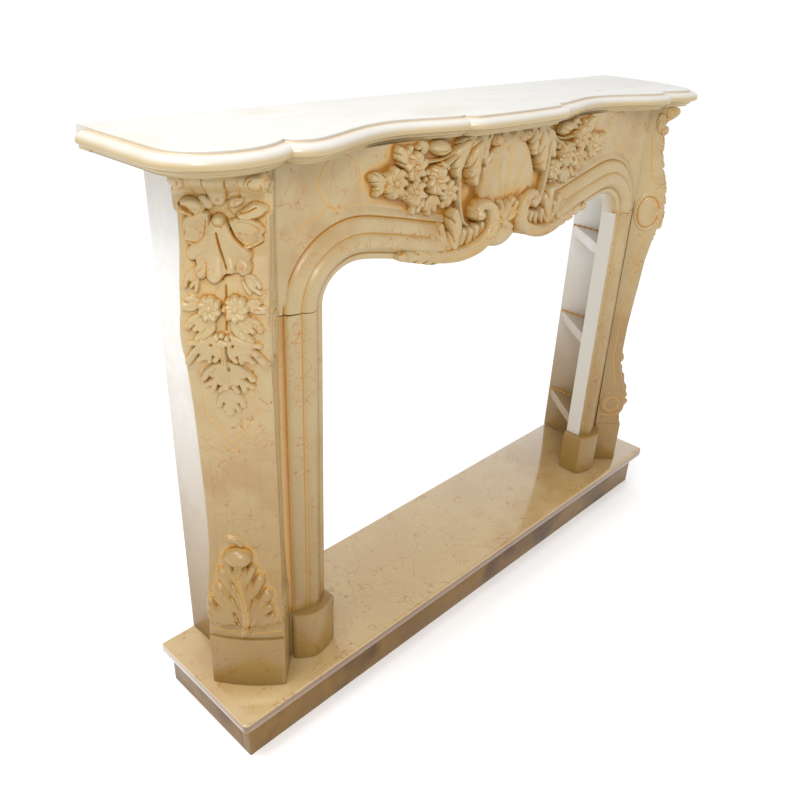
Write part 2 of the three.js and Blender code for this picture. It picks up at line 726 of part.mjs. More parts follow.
function shelfGeometry() {
  const halfRing = (side, distance) => {
    const [corner, middle, centre] = shelfLobes(side)
    const [cornerEnd, middleStart] = crossing(corner, middle, distance)
    const [middleEnd, centreStart] = crossing(middle, centre, distance)
    const stretch = (line, from, to, steps, skip) => Array.from({ length: steps + 1 - skip }, (_, i) => (
      offsetPoint(line, THREE.MathUtils.lerp(from, to, (i + skip) / steps), distance)
    ))
    return [
      new THREE.Vector2(shelfHalf + distance, 0),
      ...stretch(corner, 0, cornerEnd, 9, 0),
      ...stretch(middle, middleStart, middleEnd, 13, 1),
      ...stretch(centre, centreStart, 1, 5, 1),
    ]
  }
  const ring = ([distance, drop]) => {
    const right = halfRing(1, distance)
    const left = halfRing(-1, distance).slice(0, -1).reverse()
    const z = shelfTop - drop
    return [
      ...right.map((point) => new THREE.Vector3(point.x, fromWall(point.y), z)),
      ...left.map((point) => new THREE.Vector3(-point.x, fromWall(point.y), z)),
    ]
  }
  const slab = loft(SHELF_EDGE.map(ring))
  const tail = upright([
    [-shelfHalf, EMBED], [shelfHalf, EMBED], [shelfHalf, -SHELF_TAIL], [-shelfHalf, -SHELF_TAIL],
  ], shelfBottom, shelfTop)
  return joined([slab, tail])
}

buildHearth()
const jamb = jambGeometry()
const panel = panelGeometry()
const consoleFoot = consoleFootGeometry()
for (const [name, side] of [['left', -1], ['right', 1]]) {
  const turned = (geometry) => (side > 0 ? geometry : mirrored(geometry))
  addPiece(`jamb_${name}`, turned(jamb), CREAM)
  addPiece(`side_panel_${name}`, turned(panel), PALE)
  for (let i = 0; i < 3; i++) {
    const top = jointZ - BRACE_DROP - i * BRACE_SPACING
    addPiece(`brace_${name}_${i + 1}`, turned(braceGeometry(top)), PALE)
  }
  const corner = new THREE.Group()
  corner.position.set(0, wallY, 0)
  corner.rotation.z = side * CANT
  mantel.add(corner)
  addPiece(`console_foot_${name}`, consoleFoot, CREAM, corner).position.x = side * consoleMiddle
  addPiece(`console_${name}`, consoleGeometry(side), CREAM, corner).position.x = side * consoleMiddle
}
addPiece('frieze', friezeGeometry(), CREAM)
addPiece('mantel_shelf', shelfGeometry(), PALE)

export default mantel
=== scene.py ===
"""A carved stone fireplace mantel on its raised hearth, dressed for a studio picture.

Shapes are worked in millimetres: x from the middle of the opening, depth forward
from the wall, z up from the floor.
"""
import math
from functools import partial

import bmesh
import bpy
import numpy as np
from mathutils import Matrix, Vector


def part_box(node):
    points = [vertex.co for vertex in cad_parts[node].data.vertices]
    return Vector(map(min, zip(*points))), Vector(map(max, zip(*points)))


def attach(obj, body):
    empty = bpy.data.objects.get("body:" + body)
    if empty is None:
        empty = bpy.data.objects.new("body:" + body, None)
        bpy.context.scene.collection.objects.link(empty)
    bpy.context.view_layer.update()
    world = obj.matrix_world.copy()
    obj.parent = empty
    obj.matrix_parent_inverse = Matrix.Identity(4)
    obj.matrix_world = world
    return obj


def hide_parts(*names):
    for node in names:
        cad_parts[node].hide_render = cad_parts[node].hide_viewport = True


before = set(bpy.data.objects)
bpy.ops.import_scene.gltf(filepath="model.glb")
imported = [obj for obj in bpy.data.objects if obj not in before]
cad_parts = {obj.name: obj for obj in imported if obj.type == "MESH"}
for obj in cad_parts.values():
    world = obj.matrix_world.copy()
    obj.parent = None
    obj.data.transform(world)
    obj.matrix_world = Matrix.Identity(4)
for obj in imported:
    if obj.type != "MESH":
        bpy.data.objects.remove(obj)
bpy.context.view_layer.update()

COARSE = 1.0


def mm(box):
    """A box's lowest and highest x, y and z in millimetres."""
    return [[value * 1000 for value in corner] for corner in box]


SLAB_LOW, SLAB_HIGH = mm(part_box("hearth_slab"))
SHELF_LOW, SHELF_HIGH = mm(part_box("mantel_shelf"))
WALL, HEARTH_TOP = SLAB_HIGH[1:]
JOINT_TOP = mm(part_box("frieze"))[0][2]
SHELF_BOTTOM, SHELF_TOP = SHELF_LOW[2], SHELF_HIGH[2]
SHELF_TAIL = SHELF_HIGH[1] - WALL
# Between pieces that the real mantel has glued, and under the frieze, where no joint is to be seen
GAP, HAIR = 0.3, 0.05

# Half the opening's width, the frieze's face forward of the wall, and its thickness
OPENING, GROUND, SLAB = 498, 216, 34
PANEL_SLAB = 25
# The opening's rounded upper corners
HAUNCH_WIDE, HAUNCH_HIGH = 79, 65
# The turn of the consoles' fronts, and the x and depth of their inner corner
CANT = math.radians(47)
CORNER = Vector((591.5, 223.4))
CONSOLE_BACK = math.sin(CANT) * CORNER.x + math.cos(CANT) * CORNER.y
CONSOLE_INNER = math.cos(CANT) * CORNER.x - math.sin(CANT) * CORNER.y
# Half the width of a console's foot, and how far its front swells
FOOT_HALF, BULGE = 75, 8
CONSOLE_MIDDLE = CONSOLE_INNER + FOOT_HALF
FOOT_TOP = 248
# Top of the plain block at a jamb's foot
BLOCK_TOP = HEARTH_TOP + 121


def placed(name, data):
    """A new object in the scene that holds this mesh, camera or light."""
    thing = bpy.data.objects.new(name, data)
    bpy.context.scene.collection.objects.link(thing)
    return thing


def place_camera():
    """The camera stands where the photograph's edges and joints say that it was taken from."""
    yaw, pitch, roll = math.radians(47.0246), math.radians(-28.0836), math.radians(2.5994)
    ahead = Vector((math.sin(yaw) * math.cos(pitch), math.cos(yaw) * math.cos(pitch), math.sin(pitch)))
    level = Vector((math.cos(yaw), -math.sin(yaw), 0))
    over = level.cross(ahead)
    right = level * math.cos(roll) + over * math.sin(roll)
    up = over * math.cos(roll) - level * math.sin(roll)
    data = bpy.data.cameras.new("studio_camera")
    data.lens = 35.64
    data.sensor_width = 36
    data.clip_end = 60
    camera = placed("studio_camera", data)
    turned = Matrix((right, up, -ahead)).transposed().to_4x4()
    stand = Vector((-1.3569, WALL / 1000 - 1.2217, 1.4209))
    camera.matrix_world = Matrix.Translation(stand) @ turned
    bpy.context.scene.camera = camera


# Stone

def linear(code):
    """sRGB hex to the linear colour that a shader takes."""
    parts = [int(code[i:i + 2], 16) / 255 for i in (1, 3, 5)]
    return tuple(c / 12.92 if c <= 0.04045 else ((c + 0.055) / 1.055) ** 2.4 for c in parts) + (1,)


RGBA = {"data_type": "RGBA"}
TINT = {"data_type": "RGBA", "blend_type": "MULTIPLY"}
UNPOLISHED = "#bdb8ae"


def add_node(tree, kind, settings=None, **inputs):
    """A node with its settings; an input is a value, or the socket that feeds it."""
    node = tree.nodes.new("ShaderNode" + kind)
    for key, value in (settings or {}).items():
        setattr(node, key, value)
    for key, value in inputs.items():
        socket = node.inputs[int(key[1:])] if key[0] == "i" and key[1:].isdigit() else node.inputs[key]
        if isinstance(value, bpy.types.NodeSocket):
            tree.links.new(value, socket)
        else:
            socket.default_value = value
    return node


def ramp(node, stops):
    """Sets a Color Ramp's stops from places and sRGB hex colours, or grey levels."""
    elements = node.color_ramp.elements
    while len(elements) < len(stops):
        elements.new(0.5)
    for element, (place, colour) in zip(elements, stops):
        element.position = place
        element.color = linear(colour) if isinstance(colour, str) else (colour, colour, colour, 1)
    return node.outputs["Color"]


def stone(name, base, light, warm, vein, stain="#8f5a17", veins=0.8, cloud_mm=160, rough=0.34,
          shine=0.5, coat=0.0, tints_hollows=False, foot="#ffffff", span=(1.0, 0.1), grain=0.12, mottled=0.3):
    """Polished limestone: soft clouds, a sprinkle of fossil squiggles and fine rusty threads."""
    material = bpy.data.materials.new(name)
    material.use_nodes = True
    tree = material.node_tree
    tree.nodes.clear()
    add = partial(add_node, tree)
    place = add("TexCoord").outputs["Object"]

    # Clouds a hand's breadth across, and a mottle the size of a thumb
    cloud = add("TexNoise", Vector=place, Scale=1000 / cloud_mm, Detail=3.0, Roughness=0.55)
    mottle = add("TexNoise", Vector=place, Scale=55.0, Detail=5.0, Roughness=0.65, Distortion=0.6)
    tone = ramp(add("ValToRGB", Fac=cloud.outputs["Fac"]), [(0.36, base), (0.52, light), (0.66, warm)])
    fleck = ramp(add("ValToRGB", Fac=mottle.outputs["Fac"]), [(0.45, 0.0), (0.75, mottled)])
    body = add("Mix", TINT, i0=fleck, i6=tone, i7=linear("#f1e9d9"))

    # Fossil squiggles: thin contour lines of a warped noise, only here and there
    warp = add("TexNoise", Vector=place, Scale=9.0, Detail=2.0)
    bent = add("VectorMath", {"operation": "MULTIPLY_ADD"}, i0=warp.outputs["Color"], i1=(0.09, 0.09, 0.09),
               i2=place)
    worm = add("TexNoise", Vector=bent.outputs["Vector"], Scale=34.0, Detail=2.0, Roughness=0.5)
    off = add("Math", {"operation": "SUBTRACT"}, i0=worm.outputs["Fac"], i1=0.5)
    near = add("Math", {"operation": "ABSOLUTE"}, i0=off.outputs["Value"])
    line = ramp(add("ValToRGB", Fac=near.outputs["Value"]), [(0.0, 1.0), (0.013, 0.0)])
    patch = add("TexNoise", Vector=place, Scale=16.0, Detail=3.0)
    where = ramp(add("ValToRGB", Fac=patch.outputs["Fac"]), [(0.47, 0.0), (0.55, min(1.0, veins * 0.7))])
    squiggle = add("Math", {"operation": "MULTIPLY"}, i0=line, i1=where)
    veined = add("Mix", RGBA, i0=squiggle.outputs["Value"], i6=body.outputs[2], i7=linear(vein))

    # Rusty threads: the edges of large warped cells
    cells = add("TexVoronoi", {"feature": "DISTANCE_TO_EDGE"}, Vector=bent.outputs["Vector"], Scale=6.5)
    thread = ramp(add("ValToRGB", Fac=cells.outputs["Distance"]), [(0.0, 1.0), (0.010, 0.0)])
    faint = ramp(add("ValToRGB", Fac=warp.outputs["Fac"]), [(0.52, 0.0), (0.64, veins * 0.22)])
    threads = add("Math", {"operation": "MULTIPLY"}, i0=thread, i1=faint)
    colour = add("Mix", RGBA, i0=threads.outputs["Value"], i6=veined.outputs[2], i7=linear(vein)).outputs[2]

    # Painted shade: the stone darkens downwards, from the first of these heights in metres to the second, where
    # less light reaches
    height = add("SeparateXYZ", Vector=place).outputs["Z"]
    low = add("MapRange", {"interpolation_type": "SMOOTHSTEP"}, Value=height)
    low.inputs["From Min"].default_value, low.inputs["From Max"].default_value = span
    colour = add("Mix", TINT, i0=low.outputs["Result"], i6=colour, i7=linear(foot)).outputs[2]

    # Sawn faces, that no one polished or waxed, are a paler grey
    sawn = add("Attribute", {"attribute_name": "sawn"}).outputs["Fac"]
    colour = add("Mix", RGBA, i0=sawn, i6=colour, i7=linear(UNPOLISHED)).outputs[2]

    if tints_hollows:
        # Amber in the hollows of the carving, partly wax and partly painted shade, and none on what stands
        # proud
        hollow = add("Attribute", {"attribute_name": "stain"}).outputs["Fac"]
        shift = add("Math", {"operation": "MULTIPLY_ADD"}, i0=mottle.outputs["Fac"], i1=0.22, i2=-0.12)
        amount = add("Math", {"operation": "ADD", "use_clamp": True}, i0=hollow, i1=shift.outputs["Value"])
        wax_and_shade = ramp(add("ValToRGB", Fac=amount.outputs["Value"]), [(0.08, 0.0), (0.45, 0.6), (0.9, 1.0)])
        amber = ramp(add("ValToRGB", Fac=amount.outputs["Value"]),
                     [(0.0, "#d1aa5e"), (0.45, "#b98a38"), (1.0, stain)])
        colour = add("Mix", RGBA, i0=wax_and_shade, i6=colour, i7=amber).outputs[2]

    fine = add("TexNoise", Vector=place, Scale=420.0, Detail=3.0, Roughness=0.6)
    bump = add("Bump", Strength=grain, Distance=0.0006, Height=fine.outputs["Fac"])
    sheen = add("MapRange", Value=mottle.outputs["Fac"])
    sheen.inputs["To Min"].default_value = rough - 0.2 * mottled
    sheen.inputs["To Max"].default_value = rough + 0.33 * mottled
    shader = add("BsdfPrincipled", **{
        "Base Color": colour, "Roughness": sheen.outputs["Result"], "Normal": bump.outputs["Normal"],
        "IOR": 1.5, "Specular IOR Level": shine, "Coat Weight": coat, "Coat Roughness": 0.04})
    add("OutputMaterial", Surface=shader.outputs["BSDF"])
    return material


# Lines of points, in millimetres

def resampled(line, count):
    """The same line, evenly sampled."""
    run = np.concatenate([[0], np.cumsum(np.linalg.norm(np.diff(line, axis=0), axis=1))])
    even = np.linspace(0, run[-1], count)
    return np.column_stack([np.interp(even, run, line[:, k]) for k in (0, 1)])


def bezier(ends, count):
    """Cubic stretches that share their ends."""
    out = []
    for i in range(0, len(ends) - 1, 3):
        a, b, c, d = np.array(ends[i:i + 4], float)
        t = np.linspace(0, 1, count)[:, None]
        part = (1 - t) ** 3 * a + 3 * (1 - t) ** 2 * t * b + 3 * (1 - t) * t ** 2 * c + t ** 3 * d
        out.append(part[1:] if out else part)
    return np.vstack(out)


def outward(line):
    """Unit steps to the right of the way that a line runs."""
    ahead = np.gradient(line, axis=0)
    ahead /= np.linalg.norm(ahead, axis=1)[:, None]
    return np.column_stack([ahead[:, 1], -ahead[:, 0]])


def ellipse(centre, wide, high, start, end, count):
    return [(centre[0] + wide * math.cos(t), centre[1] + high * math.sin(t))
            for t in np.linspace(start, end, count)]


def spiral(centre, radius, start, sweep, vanish):
    """A volute's line, which would come to its centre after an angle of vanish."""
    return [(centre[0] + radius * (1 - t / vanish) * math.cos(start + t),
             centre[1] + radius * (1 - t / vanish) * math.sin(start + t)) for t in np.linspace(0, sweep, 24)]


def curve(points, count=48):
    """A smooth line through the points, evenly sampled."""
    p = np.array(points, float)
    if len(p) == 2:
        return np.linspace(p[0], p[1], count)
    ends = np.vstack([2 * p[0] - p[1], p, 2 * p[-1] - p[-2]])
    out = []
    for i in range(1, len(ends) - 2):
        a, b, c, d = ends[i - 1:i + 3]
        t = np.linspace(0, 1, 16, endpoint=False)[:, None]
        out.append(0.5 * ((2 * b) + (c - a) * t + (2 * a - 5 * b + 4 * c - d) * t ** 2
                          + (3 * b - a - 3 * c + d) * t ** 3))
    return resampled(np.vstack(out + [p[-1:]]), count)


def smooth(low, high, value):
    """0 up to low, 1 from high, and eased between them."""
    t = np.clip((value - low) / (high - low), 0, 1)
    return t * t * (3 - 2 * t)


class Relief:
    """Carving as heights over a field of points (a, b), in millimetres, with amber in its hollows: partly wax,
    partly painted shade.
    """

    def __init__(self, a, b):
        self.a, self.b = np.broadcast_arrays(a, b)
        self.h, self.stain = np.zeros((2, *self.a.shape))

    def close_to(self, line, reach):
        """Points within reach of a line: how far along it they lie (0 to 1), and to which side in mm."""
        low, high = line.min(0) - reach, line.max(0) + reach
        near = np.nonzero((self.a > low[0]) & (self.a < high[0]) & (self.b > low[1]) & (self.b < high[1]))
        pa, pb = self.a[near], self.b[near]
        best = np.full(pa.shape, 1e9)
        along, side = np.zeros(pa.shape), np.zeros(pa.shape)
        steps = len(line) - 1
        for i in range(steps):
            start, step = line[i], line[i + 1] - line[i]
            length = math.hypot(*step) or 1e-6
            ra, rb = pa - start[0], pb - start[1]
            t = np.clip((ra * step[0] + rb * step[1]) / length ** 2, 0, 1)
            away = np.hypot(ra - t * step[0], rb - t * step[1])
            closer = away < best
            best = np.where(closer, away, best)
            along = np.where(closer, (i + t) / steps, along)
            side = np.where(closer, np.sign(step[0] * rb - step[1] * ra) * away, side)
        return near, along, side

    def lay(self, near, height, inside):
        """Puts a shape on what is already carved."""
        old = self.h[near]
        self.h[near] = np.where(inside, np.maximum(old, height), old)

    def cut(self, line, width, deep, stain=0.7):
        """An incised line."""
        near, along, side = self.close_to(curve(line, 40), 3 * width)
        fade = smooth(0, 0.06, along) * smooth(0, 0.06, 1 - along)
        groove = np.exp(-(side / width) ** 2) * fade
        self.h[near] -= deep * groove
        # The groove is tinted amber: partly wax, partly painted shade
        self.stain[near] = np.maximum(self.stain[near], stain * np.exp(-(side / (1.5 * width)) ** 2) * fade)

    def drop(self, line, width, rise, base=0.0, root=0.5, crease=0.0, lean=0.0, flat=2.4):
        """A rounded finger that swells towards its tip, creased along its middle if wanted."""
        near, t, side = self.close_to(curve(line, 20), width)
        half = width / 2 * (root + (1 - root) * np.sin(math.pi / 2 * np.clip(t * 1.3, 0, 1)))
        q = np.clip(np.abs(side) / half, 0, 1)
        height = rise * (1 - q ** flat) ** 0.5 * (0.72 + 0.28 * t) * (1 + lean * side / half)
        crease = crease * smooth(0, 0.3, t) * (1 - smooth(0.7, 1, t))
        self.lay(near, base + height - crease * np.exp(-(side / (0.09 * width + 0.5)) ** 2), q < 1)

    def spray(self, root, tips, width, rise, base=0.0, crease=0.0, bow=0.12):
        """Fingers from one root to several tips (a, b, width), the outer ones bowed outwards."""
        ends = np.array([tip[:2] for tip in tips])
        middle = ends.mean(0) - root
        spread = np.linalg.norm(ends - ends[:, None], axis=-1).max()
        self.drop([root, tuple(root + middle * 0.3), tuple(root + middle * 0.6)], 0.6 * spread + 0.7 * width,
                  0.72 * rise, base, root=0.3, flat=3.2)
        for tip in tips:
            run = np.array(tip[:2]) - root
            turn = np.sign(middle[0] * run[1] - middle[1] * run[0])
            bend = root + run * 0.55 + np.array((-run[1], run[0])) * turn * bow
            self.drop([root, tuple(bend), tip[:2]], tip[2], rise, base, crease=crease)

    def leaf(self, line, width, rise, lobes, base=0.0, sweep=0.8):
        """An acanthus leaf: lobes that sweep forward on either side of its rib, parted by slits."""
        near, t, s = self.close_to(curve(line, 60), width * 0.6)
        across = np.abs(s) / (width / 2)
        slit = (np.abs(np.mod(lobes * (t - sweep * across / lobes ** 0.5), 1) - 0.5) * 2) ** 5
        half = width / 2 * np.sin(math.pi * (0.14 + 0.86 * np.clip(t, 0, 0.995))) ** 0.6 * (1 - 0.34 * slit)
        q = np.clip(np.abs(s) / half, 0, 1)
        outer = smooth(0.12, 0.36, across)
        rib = 1.8 * np.exp(-(s / 1.4) ** 2) * (1 - t)
        # Amber in the slits between the lobes: partly wax, partly painted shade
        self.stain[near] = np.maximum(self.stain[near], 0.8 * slit ** 2 * outer * (q < 0.98))
        self.lay(near, base + rise * ((1 - q ** 2.8) ** 0.5 - 0.34 * slit * outer) - rib, q < 1)

    def patch(self, outline, rise, base=0.0, rim=7.0, dish=0.0):
        """A broad lobe inside a drawn outline, rounded over at its rim and hollowed in the middle."""
        closed = curve(list(outline) + [outline[0]], 80)
        near, _, side = self.close_to(closed, 1)
        a, b = self.a[near], self.b[near]
        inside = np.zeros(a.shape, bool)
        for (a0, b0), (a1, b1) in zip(closed, closed[1:]):
            crosses = (b0 > b) != (b1 > b)
            inside ^= crosses & (a < a0 + (b - b0) * (a1 - a0) / (b1 - b0 if b1 != b0 else 1e-9))
        within = np.abs(side)
        height = rise * np.sqrt(1 - (1 - np.clip(within / rim, 0, 1)) ** 2)
        self.lay(near, base + height - dish * smooth(rim * 0.6, rim * 2.6, within), inside)

    def stem(self, line, half, rise, base=0.0, taper=0.25):
        near, t, s = self.close_to(curve(line), half * 1.2)
        width = half * (1 - taper * t)
        q = np.abs(s) / width
        self.lay(near, base + rise * np.sqrt(np.clip(1 - q ** 2, 0, 1)), q < 1)

    def scroll(self, line, half, rise, base=0.0, hollow=0.3):
        """A band with rounded rims and a hollowed face; half and rise are given along its length."""
        near, t, s = self.close_to(curve(line, 110), max(half) * 1.2)
        width = np.interp(t, np.linspace(0, 1, len(half)), half)
        high = np.interp(t, np.linspace(0, 1, len(rise)), rise)
        q = np.abs(s) / width
        rim = np.sqrt(np.clip(1 - (np.clip(q - 0.55, 0, 1) / 0.45) ** 2.4, 0, 1))
        face = 1 - hollow * (1 - smooth(0.15, 0.72, q))
        self.lay(near, base + high * rim * face, q < 1)

    def ball(self, centre, radius_a, radius_b, rise, base=0.0, turn=0.0, power=0.5):
        da, db = self.a - centre[0], self.b - centre[1]
        ca, sa = math.cos(turn), math.sin(turn)
        r2 = ((da * ca + db * sa) / radius_a) ** 2 + ((db * ca - da * sa) / radius_b) ** 2
        near = np.nonzero(r2 < 1)
        self.lay(near, base + rise * (1 - r2[near]) ** power, True)

    def flower(self, centre, radius, rise, petals=6, base=0.0, twist=0.5, turn=0.0, button=0.26):
        """Petals that overlap like a pinwheel round a button."""
        for k in range(petals):
            angles = [turn + 2 * math.pi * k / petals + twist * r for r in (0.18, 0.45, 0.7)]
            line = [(centre[0] + radius * r * math.cos(t), centre[1] + radius * r * math.sin(t))
                    for r, t in zip((0.18, 0.45, 0.7), angles)]
            self.drop(line, 2.0 * radius * math.sin(math.pi / petals), rise, base, root=0.4, crease=0.05 * rise,
                      lean=-0.42 * np.sign(twist), flat=2.8)
        self.ball(centre, 1.5 * button * radius, 1.5 * button * radius, rise * 0.7, base)
        self.ball(centre, button * radius, button * radius, rise * 1.2, base, power=0.35)

    def darken_hollows(self, cell, near=0.3, far=0.1):
        """Painted shade with wax: the surface is tinted amber where it lies lower than what stands close round
        it.
        """
        for reach, share in ((2.4, near), (7.0, far), (15.0, 0.55 * far)):
            below = blurred(self.h, reach / cell) - self.h
            self.stain = np.maximum(self.stain, np.clip(below * share - 0.06, 0, 0.9))


def blurred(field, cells):
    """A Gaussian blur, in cells of the field."""
    span = int(3 * cells) + 1
    kernel = np.exp(-0.5 * (np.arange(-span, span + 1) / cells) ** 2)
    kernel /= kernel.sum()
    for axis in (0, 1):
        padded = np.pad(field, [(span, span) if k == axis else (0, 0) for k in (0, 1)], mode="edge")
        total = np.zeros_like(field)
        for i, weight in enumerate(kernel):
            piece = [slice(None), slice(None)]
            piece[axis] = slice(i, i + field.shape[axis])
            total += weight * padded[tuple(piece)]
        field = total
    return field


# Making pieces

def finish_piece(bm, name, node, material, sharp=35):
    """The mesh becomes a piece that stands for its node and rides with the whole."""
    mesh = bpy.data.meshes.new(name)
    bm.to_mesh(mesh)
    bm.free()
    mesh.shade_smooth()
    mesh.set_sharp_from_angle(angle=math.radians(sharp))
    mesh.materials.append(material)
    piece = placed(name, mesh)
    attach(piece, "root")
    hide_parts(node)


def sheet(bm, places, stain=0, sawn=0):
    """A grid whose rows and columns are moved to places[row, column]; gives its vertices in that order."""
    rows, columns = places.shape[:2]
    marks = [(bm.verts.layers.float.get(name) or bm.verts.layers.float.new(name),
              np.broadcast_to(level, (rows, columns))) for name, level in (("stain", stain), ("sawn", sawn))]
    made = bmesh.ops.create_grid(bm, x_segments=columns - 1, y_segments=rows - 1, size=1)["verts"]
    grid = [[None] * columns for _ in range(rows)]
    for vert in made:
        j = round((vert.co.x + 1) / 2 * (columns - 1))
        i = round((vert.co.y + 1) / 2 * (rows - 1))
        grid[i][j] = vert
    for i in range(rows):
        for j in range(columns):
            vert = grid[i][j]
            vert.co = places[i, j]
            for layer, level in marks:
                vert[layer] = float(level[i, j])
    return grid


def zoned(stops):
    """Places from the first stop to the last, each stretch in steps of about its own size."""
    out = [stops[0][0]]
    for (low, step), (high, _) in zip(stops, stops[1:]):
        count = max(1, round((high - low) / (step * COARSE)))
        out.extend(low + (high - low) * (k + 1) / count for k in range(count))
    return np.array(out)


def to_world(x, depth, z):
    """Places in metres from x, depth forward of the wall, and height, all in millimetres."""
    return np.stack(np.broadcast_arrays(x, WALL - np.asarray(depth), z), -1) / 1000


def close_tube(bm, grid):
    """Joins the first and last columns of a sheet and fills its two ends."""
    first, last = {row[0] for row in grid}, {row[-1] for row in grid}
    seams = [e for e in bm.edges if e.is_boundary and (set(e.verts) <= first or set(e.verts) <= last)]
    bmesh.ops.bridge_loops(bm, edges=seams)
    bmesh.ops.holes_fill(bm, edges=[e for e in bm.edges if e.is_boundary], sides=0)


def slab_piece(name, node, material, plan, bottom, top, bevel, bead=None):
    """A flat slab over a plan of (x, depth) corners, with eased arrises."""
    bm = bmesh.new()
    corners = [bm.verts.new((x / 1000, (WALL - depth) / 1000, bottom / 1000)) for x, depth in plan]
    face = bm.faces.new(corners)
    raised = bmesh.ops.extrude_face_region(bm, geom=[face])
    up = [v for v in raised["geom"] if isinstance(v, bmesh.types.BMVert)]
    bmesh.ops.translate(bm, verts=up, vec=(0, 0, (top - bottom) / 1000))
    bmesh.ops.recalc_face_normals(bm, faces=bm.faces[:])
    bmesh.ops.bevel(bm, geom=bm.edges[:], offset=bevel / 1000, affect="EDGES", segments=2, profile=0.5,
                    material=-1)
    if bead:
        # Amber glue squeezed out along the top edge of one side
        x, start, end = bead
        along, turn = np.linspace(start, end, 40)[:, None], np.radians(np.linspace(0, 324, 10))
        radius = 3.3 + 1.0 * np.sin(0.33 * along) + 0.6 * np.sin(0.79 * along + 1)
        places = to_world(x + radius * np.cos(turn), along, top + radius * np.sin(turn))
        close_tube(bm, sheet(bm, places, 1))
        bmesh.ops.recalc_face_normals(bm, faces=bm.faces[:])
    finish_piece(bm, name, node, material)


def from_canted(along, out):
    """The x and depth of a place given along a console's width and outwards, square to it."""
    return math.sin(CANT) * out + math.cos(CANT) * along, math.cos(CANT) * out - math.sin(CANT) * along


def mitre_at(depth, clearance=GAP):
    """The x where the console's back lies at this depth."""
    return (CONSOLE_BACK - clearance - math.cos(CANT) * depth) / math.sin(CANT)


# Section of the moulding round the opening: distance from its edge, and projection

MOULDING = np.array([
    (0, 7), (0.6, 8.4), (2, 9), (9, 10.4), (11, 10.6), (12.3, 9.6), (13.3, 8.2), (14.2, 8.4), (15.5, 11.5),
    (17.5, 14.6), (20, 17.2), (23, 20), (27, 22.6), (31, 24.2), (35, 24.9), (39, 24.8), (43, 23.7), (47, 21.6),
    (50, 18.8), (51.6, 16.4), (52.6, 15.2), (53.8, 15.6), (55.5, 16.9), (58, 17.2), (63, 16.2), (68, 14.8),
    (73, 13.4), (77, 11.6), (80.5, 8.8), (82.5, 5.6), (84, 3.6), (85, 3.8), (86.5, 5.4), (89, 6.2), (93, 4.2),
    (98, 1.6), (104, -1.5)])
MOULDING_GROOVES = ((13.6, 0.55), (52.8, 0.6), (84, 1.0))


def moulding_amber_and_shade(out):
    """Amber in the moulding's grooves, partly wax and partly painted shade, whose places and depths of colour
    the pairs above give.
    """
    return np.clip(sum(deep * np.exp(-((out - at) / 1.9) ** 2) for at, deep in MOULDING_GROOVES), 0, 1)


def arch_line(count):
    """The opening's edge from the right jamb's joint to where the scroll hides it."""
    x, z = OPENING - HAUNCH_WIDE, JOINT_TOP + HAUNCH_HIGH
    haunch = ellipse((x, JOINT_TOP), HAUNCH_WIDE, HAUNCH_HIGH, 0, math.pi / 2, 60)
    fall = bezier([(x, z), (x - 44, z), (270, z - 31), (200, z - 47)], 60)
    return resampled(np.vstack([haunch, fall[1:]]), count)


def lower_edge(x):
    """Height of the frieze's lower edge at distance |x| from the middle."""
    far = np.abs(x)
    points = arch_line(140)
    inner = [(0, 919), (20, 920), (42, 925), (54, 931), (63, 937), (74, 932), (98, 925), (128, 920), (158, 917),
             (198, 918), (223, 922), (258, 933), (298, 944), (314, 949)]
    edge = np.vstack([inner, points[points[:, 0] > 320][::-1]])
    return np.where(far >= OPENING, JOINT_TOP, np.interp(far, edge[:, 0], edge[:, 1]))


